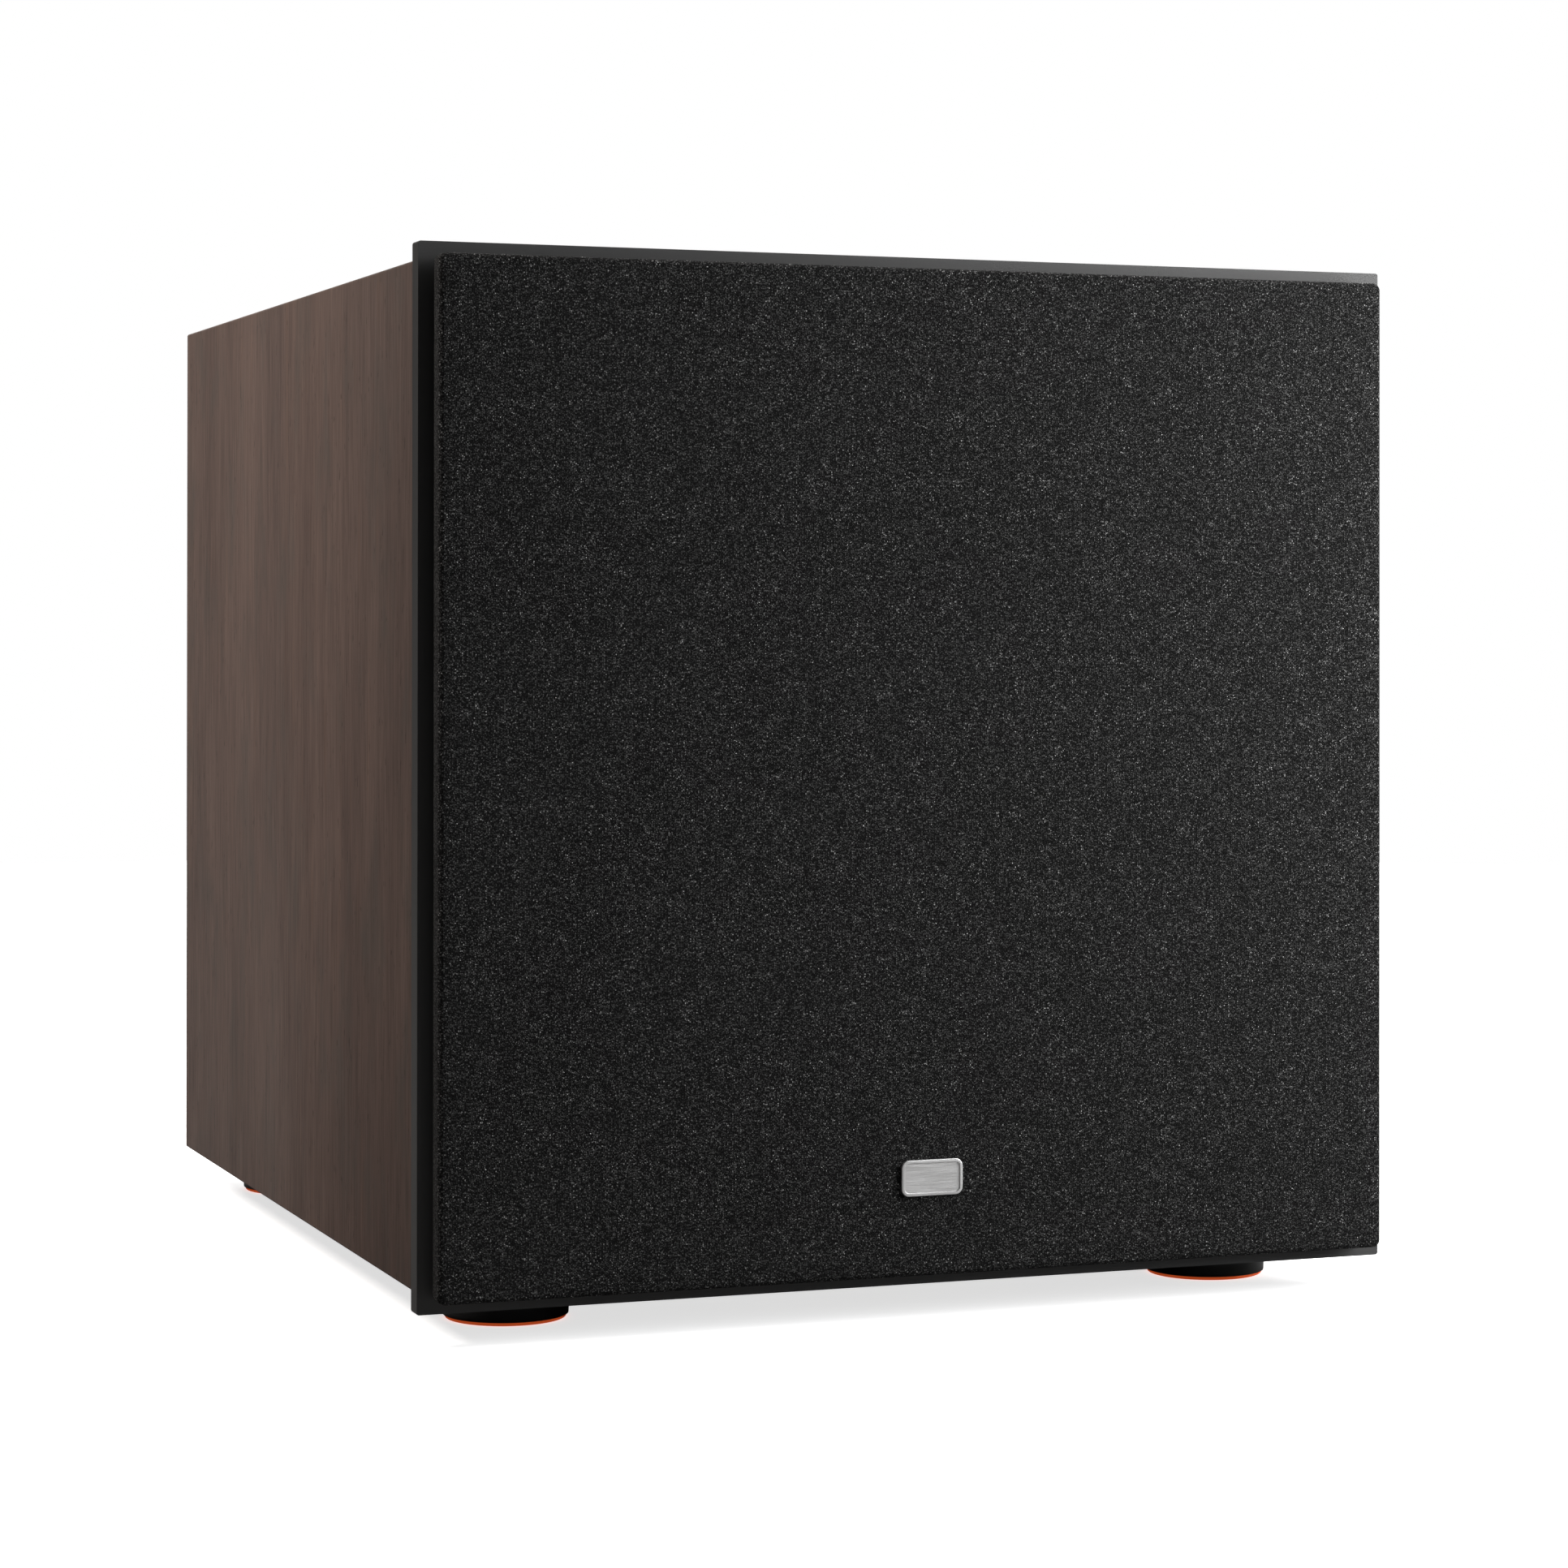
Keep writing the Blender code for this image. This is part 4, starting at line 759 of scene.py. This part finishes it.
def make_driver():
    cone_front, cone_back = CONE.low.y, CONE.high.y
    radius, lip, neck, thick = CONE.size.x / 2, 0.1050, 0.0263, 0.0011
    neck_setback, cone_bow, wall = 0.0020, 0.0022, 1.3 * thick
    depth = cone_back - neck_setback - cone_front
    curve = []
    steps = 10
    for step in range(steps + 1):
        share = step / steps
        bow = cone_bow * math.sin(math.pi * share)
        curve.append((lip + (neck - lip) * share, cone_front + depth * share + bow))
    front_side = [(radius, cone_front), *curve]
    back_side = [(r, y + wall) for r, y in curve[::-1]] + [(radius, cone_front + thick)]
    shell = front_side + back_side
    turned("cone_shell", shell, FINE, "cone", DRIVER, "cone_assembly", ["cone"])

    cap_radius, cap_rim = CAP.size.x / 2, CAP.high.y - 0.0010
    rise, skin, bulge = cap_rim - CAP.low.y, 0.0009, 0.93
    rim_height = math.sqrt(1 - bulge**2)
    outer, inner = [], []
    steps = 14
    for step in range(steps + 1):
        share = step / steps
        height = (math.sqrt(1 - (bulge * share) ** 2) - rim_height) / (1 - rim_height)
        outer.append((cap_radius * share, cap_rim - rise * height))
        inner.append(((cap_radius - skin) * share, cap_rim + skin - rise * height))
    dome = outer + inner[::-1]
    turned("dust_cap_dome", dome, FINE, "cone", DRIVER, "cone_assembly", ["dust_cap"])

    back = SURROUND.high.y
    roll, middle, rubber, glue_lip = 0.010, 0.121, 0.0010, 0.0065
    outer_edge, inner_edge = SURROUND.size.x / 2, middle - roll - glue_lip
    front_roll, back_roll = [], []
    for cosine, out in arc(math.pi, 18):
        across = -cosine
        front_roll.append((middle + roll * across, back - rubber - roll * out))
        back_roll.append((middle + (roll - rubber) * across, back - roll * out))
    outline = [(inner_edge, back - rubber, 0.0003), *front_roll, (outer_edge, back - rubber)]
    outline += [(outer_edge, back), *back_roll[::-1], (inner_edge, back, 0.0003)]
    suspension("surround_roll", outline, FINE, "rubber", "surround")

    spider_outer = SPIDER.size.x / 2
    cloth, base, waves, height = 0.0007, SPIDER.high.y - 0.0008, 5, 0.0019
    first, last, points = 0.031, 0.067, 60
    near = [(neck, base)]
    for step in range(points + 1):
        share = step / points
        ripple = height * (1 - math.cos(2 * math.pi * waves * share))
        near.append((first + (last - first) * share, base - ripple))
    near.append((spider_outer, base))
    outline = near + [(r, y + cloth) for r, y in near[::-1]]
    suspension("spider_pleats", outline, MEDIUM, "spider", "spider")

    gasket_inner, gasket_outer = SURROUND.size.x / 2 + 0.0005, GASKET.size.x / 2
    outline = [
        (gasket_inner, GASKET.high.y), (gasket_inner, GASKET.low.y, 0.0008),
        (gasket_outer, GASKET.low.y, 0.0012), (gasket_outer, GASKET.high.y),
    ]
    turned("gasket_ring", outline, FINE, "rubber", DRIVER, "cabinet", ["woofer_gasket"])
    screw_circle, screws = (gasket_inner + gasket_outer) / 2, 8
    for number in range(screws):
        angle = 2 * math.pi * (number + 0.5) / screws
        spot = Vector((screw_circle * math.cos(angle), 0, screw_circle * math.sin(angle)))
        spot += Vector((DRIVER.x, GASKET.low.y + SKIN, DRIVER.z))
        facing_front = Matrix.Translation(spot) @ Matrix.Rotation(HALF_TURN, 4, "Z")
        add_screw(f"woofer_screw_{number + 1}", facing_front, 0.0044, 0.0024)


# ---------- port and amplifier


def make_port():
    """A long tube whose mouth opens in a smooth flare, with four screws in its flange."""
    bore, wall, flange, screw_circle = 0.038, 0.0025, PORT.size.x / 2, 0.0550
    mouth, tube_front = PORT.high.y, PORT.low.y
    flare, flare_length = 0.014, 0.0198
    flare_start = mouth - flare_length
    flange_back = REAR.high.y + SKIN
    outline = [(bore + wall, tube_front, 0.0006), (bore, tube_front, 0.0006)]
    for cosine, sine in arc(QUARTER_TURN, 14):
        outline.append((bore + flare * (1 - cosine), flare_start + (mouth - flare_start) * sine))
    outline += [
        (flange, mouth, 0.0012), (flange, flange_back), (bore + flare, flange_back),
        (bore + flare - 0.001, flange_back - 0.005), (bore + wall + 0.0005, flare_start),
    ]
    turned("port_flare", outline, FINE, "plastic", PORT.axis, "cabinet", ["port_tube"])
    for number in range(4):
        angle = QUARTER_TURN * (number + 0.5)
        spot = Vector((PORT.mid.x, mouth - SKIN, PORT.mid.z))
        spot += screw_circle * Vector((math.cos(angle), 0, math.sin(angle)))
        add_screw(f"port_screw_{number + 1}", Matrix.Translation(spot), 0.0022, 0.0012)


def on_plate(x, z, out=0.0):
    """A point on the amplifier plate's outer face."""
    return Vector((x, PLATE.high.y + out, z))


def make_plate_screws():
    """Screws round the edge of the amplifier plate, each turned by its own angle."""
    inset = 0.0075
    inset_x, inset_z = PLATE.size.x / 2 - inset, PLATE.size.z / 2 - inset
    places = []
    for share in (-1, 0, 1):
        places += [(share * inset_x, inset_z), (share * inset_x, -inset_z)]
    for share in (-0.36, 0.36):
        places += [(inset_x, share * inset_z), (-inset_x, share * inset_z)]
    for number, (x, z) in enumerate(places):
        spot = on_plate(PLATE.mid.x + x, PLATE.mid.z + z, SKIN)
        turn = Matrix.Rotation(0.7 * number, 4, "Y")
        add_screw(f"plate_screw_{number + 1}", Matrix.Translation(spot) @ turn, 0.0038, 0.0022)


def make_knobs():
    """Fluted knobs, each with a white pointer line, and their shafts."""
    for name in ("level", "crossover"):
        span = Span(f"{name}_knob")
        radius, top = span.size.x / 2, span.high.y - PLATE.high.y
        shaft, shaft_end, skirt = 0.0030, span.low.y - PLATE.high.y, 0.0010
        outline = [
            (0, top - 0.0003), (radius - 0.0044, top - 0.0003, 0.0006), (radius - 0.0036, top, 0.0005),
            (radius - 0.0020, top, 0.0012), (radius - 0.0010, skirt + 0.0026),
            (radius - 0.0008, skirt + 0.0022, 0.0003), (radius, skirt + 0.0016, 0.0005),
            (radius, skirt, 0.0003), (shaft, skirt), (shaft, shaft_end, 0.0004), (0, shaft_end),
        ]
        maker = turned_mesh(soften(outline), FINE)
        flutes, groove = 24, 0.00045
        for vertex in maker.verts:
            reach = math.hypot(vertex.co.x, vertex.co.z)
            if radius - 0.0030 < reach and skirt + 0.0023 < vertex.co.y < top - 0.0004:
                wave = 0.5 - 0.5 * math.cos(flutes * math.atan2(vertex.co.z, vertex.co.x))
                shrink = 1 - groove * wave / reach
                vertex.co.x *= shrink
                vertex.co.z *= shrink
        body = f"{name}_knob"
        piece = object_from(maker, f"{body}_body", on_plate(span.mid.x, span.mid.z), sharp=SHARP)
        finish_piece(piece, "plastic", body, [body])
        length, width = radius - 0.0030, 0.0011
        line = lofted_mesh(pillow_block((width, length), 0.0003, 0.0001, top - 0.0004, top + SKIN))
        mark_at = on_plate(span.mid.x, span.mid.z + 0.5 * length + 0.0012)
        mark = object_from(line, f"{body}_pointer", mark_at)
        finish_piece(mark, "print", body)


def text_mesh(words, size):
    """Flat raised text as a bmesh in the XY plane, centred on the origin."""
    curve = bpy.data.curves.new("words", "FONT")
    curve.body = words
    curve.size = size
    curve.align_x, curve.align_y = "CENTER", "CENTER"
    curve.extrude = 0.00006
    holder = add_object("words", curve)
    bpy.context.view_layer.update()
    mesh = bpy.data.meshes.new_from_object(holder)
    maker = bmesh.new()
    maker.from_mesh(mesh)
    bmesh.ops.remove_doubles(maker, verts=maker.verts, dist=1e-6)
    bpy.data.objects.remove(holder)
    bpy.data.meshes.remove(mesh)
    return maker


def outward(x, z, out=0.0):
    """The matrix that lays something drawn in XY on the plate, facing out and upright from behind."""
    upright = Matrix.Rotation(HALF_TURN, 4, "Z") @ Matrix.Rotation(QUARTER_TURN, 4, "X")
    return Matrix.Translation(on_plate(x, z, out)) @ upright


def make_print():
    """What is printed on the plate: dial ticks with numbers, the switches' marks and frames."""
    parts = []

    def bar(x, z, width, height, angle=0.0):
        loops = [(rounded_rectangle(width, height, 0.00012, 2), out) for out in (0.00002, 0.00012)]
        parts.append((lofted_mesh(loops, "Z"), outward(x, z) @ Matrix.Rotation(angle, 4, "Z")))

    def words(text, x, z, size):
        parts.append((text_mesh(text, size), outward(x, z, 0.00008)))

    scales = {"level_knob": ("0", "5", "10"), "crossover_knob": ("50", "100", "150")}
    for name, numbers in scales.items():
        span = Span(name)
        x, z = span.mid.x, span.mid.z
        for tick in range(11):
            angle = math.radians(-150 + 30 * tick)
            reach, long = 0.0142, 0.0026 if tick % 5 == 0 else 0.0016
            bar(x - reach * math.sin(angle), z + reach * math.cos(angle), 0.0005, long, -angle)
        for number, turn in zip(numbers, (-150, 0, 150)):
            angle = math.radians(turn)
            words(number, x - 0.0190 * math.sin(angle), z + 0.0185 * math.cos(angle), 0.0048)
    for name, marks in (("phase_switch_housing", ("0", "180")), ("mode_switch_housing", ("1", "2"))):
        span = Span(name)
        for side, mark in zip((1, -1), marks):
            words(mark, span.mid.x + side * 0.0150, span.mid.z, 0.0042)
    for name in ("input_jack_left", "input_jack_right"):
        span = Span(name)
        bar(span.mid.x - 0.0098, span.mid.z, 0.0030, 0.0005)
    for node_name, pad in (("rocker_housing", 0.0032), ("power_inlet", 0.0032)):
        span = Span(node_name)
        width, height = span.size.x + 2 * pad, span.size.z + 2 * pad
        for side in (-1, 1):
            bar(span.mid.x + side * width / 2, span.mid.z, 0.0004, height)
            bar(span.mid.x, span.mid.z + side * height / 2, width, 0.0004)
    piece = object_from(joined(parts), "plate_print")
    finish_piece(piece, "print", "cabinet")


def make_rocker():
    """A rocker with a dished face and the on and off marks, tilted to off."""
    span = Span("power_rocker")
    joint = next(j for j in frame["joints"] if j["name"] == "rocker_tilt")
    tilt = math.radians(joint["range_deg"][1] / 2)
    half, reach, valley = span.size.x / 2, 0.0124, 0.0021
    outline = soften([
        (-0.0060, -0.0040), (-0.0060, 0.0040), (0.0000, reach, 0.0010), (0.0032, reach, 0.0009),
        (valley, 0.0000, 0.0060), (0.0032, -reach, 0.0009), (0.0000, -reach, 0.0010),
    ], 6)
    cap = lofted_mesh([(outline, -half), (outline, half)], "X")
    piece = object_from(cap, "rocker_cap", joint["pos_m"], sharp=SHARP)
    piece.rotation_euler = (-tilt, 0, 0)
    soften_edges(piece, 0.0004)
    finish_piece(piece, "plastic", "power_rocker", ["power_rocker"])
    slope, thick = math.atan2(0.0011, reach), 0.00025
    bar = [(rounded_rectangle(0.0008, 0.0044, 0.0002, 2), out) for out in (0.0, thick)]
    ring = [(0.0017, 0.0), (0.0017, thick), (0.0024, thick), (0.0024, 0.0)]
    marks = (("on", lofted_mesh(bar), 0.0070, -slope), ("off", turned_mesh(ring, COARSE), -0.0070, slope))
    for name, maker, at, lean in marks:
        depth = valley + abs(at) * math.tan(slope)
        mark = object_from(maker, f"rocker_{name}_mark")
        turn = Matrix.Rotation(-tilt, 4, "X")
        lay = Matrix.Translation((0, depth, at)) @ Matrix.Rotation(lean, 4, "X")
        mark.matrix_world = Matrix.Translation(joint["pos_m"]) @ turn @ lay
        finish_piece(mark, "print", "power_rocker")


def make_inlet():
    """The mains inlet with a keyed recess and three nickel blades, and the fuse in the drawer below it."""
    span, drawer = Span("power_inlet"), Span("fuse_drawer")
    x, recess_z = span.mid.x, span.mid.z + 0.0090
    tip, floor, off_side, off_centre = PLATE.high.y - 0.0043, PLATE.high.y - 0.0182, 0.0070, 0.0020
    for name, across, up in (("earth", 0, off_centre), ("live", -off_side, -off_centre),
                             ("neutral", off_side, -off_centre)):
        maker = lofted_mesh(pillow_block((0.0024, 0.0044), 0.0006, 0.0006, floor, tip + SKIN))
        blade = object_from(maker, f"inlet_blade_{name}", (x + across, 0, recess_z + up), sharp=SHARP)
        finish_piece(blade, "nickel", "cabinet")
    radius, half = 0.0025, 0.0100
    fuse = [(0, -half), (radius, -half, 0.0003), (radius, half, 0.0003), (0, half)]
    middle = (drawer.low.y + PLATE.high.y) / 2
    turned("fuse", fuse, COARSE, "nickel", (x, middle, drawer.mid.z), "fuse_drawer")


def make_jacks():
    """Each input jack: a collar, a barrel and a coloured ring round the centre hole."""
    for side, colour in (("left", "white"), ("right", "red")):
        name = f"input_jack_{side}"
        span = Span(name)
        tip, back = span.high.y - PLATE.high.y, span.low.y - PLATE.high.y
        core, barrel, collar, neck, nut = 0.0030, 0.00415, span.size.x / 2, 0.0036, 0.0055
        outline = [
            (0, 0.0012), (core, 0.0012), (core, tip, 0.0002), (barrel, tip, 0.0005), (barrel, 0.0013),
            (collar, 0.0013, 0.0004), (collar, SKIN), (neck, SKIN), (neck, -0.0033), (nut, -0.0033, 0.0003),
            (nut, back), (0, back),
        ]
        at = on_plate(span.mid.x, span.mid.z)
        turned(f"{name}_shell", outline, MEDIUM, "nickel", at, "cabinet", [name])
        hole = 0.0016
        ring = [
            (hole, 0.0030), (hole, tip + SKIN, 0.0003), (core - 0.0001, tip + SKIN, 0.0003),
            (core - 0.0001, 0.0014), (0, 0.0014), (0, 0.0030),
        ]
        turned(f"{name}_insulator", ring, COARSE, colour, at, "cabinet")
    span = Span("status_light")
    tip, back = span.high.y - PLATE.high.y, span.low.y - PLATE.high.y
    outline = [(0, tip), (0.0016, tip - 0.0002, 0.0006), (0.0025, 0.0002, 0.0008), (0.0025, back), (0, back)]
    at = on_plate(span.mid.x, span.mid.z)
    turned("status_lens", outline, COARSE, "lens", at, "cabinet", ["status_light"])


def make_inside():
    """What the sealed cabinet hides: the transformer, the board's parts and the wadding."""
    core = Span("transformer")
    hole, radius = 0.012, core.size.x / 2
    low, high = core.low.y, core.high.y
    turns, groove = 72, 0.0004
    outline = soften([
        (hole, low, 0.0060), (radius, low, 0.0110), (radius, high, 0.0110), (hole, high, 0.0060),
    ], 8)
    maker = turned_mesh(outline, 2 * turns)
    for vertex in maker.verts:
        angle = math.atan2(vertex.co.z, vertex.co.x)
        reach = math.hypot(vertex.co.x, vertex.co.z)
        shrink = 1 - groove * (0.5 + 0.5 * math.cos(turns * angle)) / reach
        vertex.co.x *= shrink
        vertex.co.z *= shrink
    piece = object_from(maker, "transformer_winding", core.axis, sharp=60)
    finish_piece(piece, "tape", "cabinet", ["transformer"])
    bolt = [(0, low - 0.004), (0.004, low - 0.004, 0.0006), (0.004, high), (0, high)]
    turned("transformer_bolt", bolt, COARSE, "steel", core.axis, "cabinet")
    hole, rim, near, far = 0.0045, 0.024, low - 0.0006, low - 0.0020
    washer = [(hole, far), (hole, near), (rim, near, 0.0004), (rim, far)]
    turned("transformer_washer", washer, MEDIUM, "steel", core.axis, "cabinet")

    board = Span("circuit_board")
    face = board.low.y - SKIN
    cans = ((-0.060, 0.205, 0.0125, 0.035), (-0.030, 0.205, 0.0125, 0.035), (0.060, 0.182, 0.0080, 0.020))
    for number, (x, z, can, tall) in enumerate(cans):
        outline = [
            (0, face), (can, face, 0.0008), (can, face - tall, 0.0010), (0.8 * can, face - tall, 0.0003),
            (0.75 * can, face - tall + 0.0004), (0, face - tall + 0.0004),
        ]
        turned(f"capacitor_{number + 1}", outline, MEDIUM, "plastic", (x, 0, z), "cabinet")
    chips = ((0.000, 0.215, 0.018, 0.010), (0.035, 0.205, 0.012, 0.012))
    for number, (x, z, width, height) in enumerate(chips):
        loops = pillow_block((width, height), 0.0006, 0.0005, -face, -face + 0.0040)
        maker = lofted_mesh([(shape, -along) for shape, along in loops])
        chip = object_from(maker, f"board_chip_{number + 1}", (x, 0, z), sharp=SHARP)
        finish_piece(chip, "plastic", "cabinet")
    make_wadding()


def make_wadding():
    """A soft sheet folded along three walls, lumpy on its inner side."""
    span = Span("damping_wadding")
    thick, across, along = 0.020, 90, 26
    half, top, bottom = span.size.x / 2, span.high.z, span.low.z
    rise = top - bottom
    length = 2 * rise + 2 * half
    random.seed(7)
    bumps = [(random.uniform(0.6, 1.6), random.uniform(0, 6.3), random.uniform(0.5, 2.0)) for _ in range(6)]

    def wall(share, inset):
        """A point of the folded line, that far from its start, moved in from the walls by inset."""
        distance = share * length
        if distance < rise:
            return (-half + inset, bottom + distance * (rise - inset) / rise)
        if distance < rise + 2 * half:
            return (-half + inset + (distance - rise) * (half - inset) / half, top - inset)
        return (half - inset, top - inset - (distance - rise - 2 * half) * (rise - inset) / rise)

    maker = bmesh.new()
    faces = []
    for layer in (0, 1):
        grid = []
        for i in range(across + 1):
            row = []
            for j in range(along + 1):
                rim = min(i, across - i, j, along - j) / 3
                lump = sum(math.sin(a * i * 0.35 + b) * math.cos(c * j * 0.45 + b) for a, b, c in bumps) / 6
                fat = thick * (0.35 + 0.6 * min(rim, 1)) * (0.93 + 0.07 * lump)
                x, z = wall(i / across, fat if layer else 0.0008)
                y = span.low.y + (span.high.y - span.low.y) * j / along
                row.append(maker.verts.new((span.mid.x + x, y, z)))
            grid.append(row)
        faces.append(grid)
    for layer, grid in enumerate(faces):
        for i in range(across):
            for j in range(along):
                quad = [grid[i][j], grid[i + 1][j], grid[i + 1][j + 1], grid[i][j + 1]]
                maker.faces.new(quad if layer else quad[::-1])
    below, above = faces
    for i in range(across):
        for j in (0, along):
            maker.faces.new((below[i][j], below[i + 1][j], above[i + 1][j], above[i][j]))
    for j in range(along):
        for i in (0, across):
            maker.faces.new((below[i][j], below[i][j + 1], above[i][j + 1], above[i][j]))
    piece = object_from(maker, "wadding_sheet", sharp=80)
    finish_piece(piece, "wadding", "cabinet", ["damping_wadding"])


make_camera()
make_stage()
keep_nodes()
make_feet()
make_grille()
make_driver()
make_port()
make_plate_screws()
make_knobs()
make_print()
make_rocker()
make_inlet()
make_jacks()
make_inside()
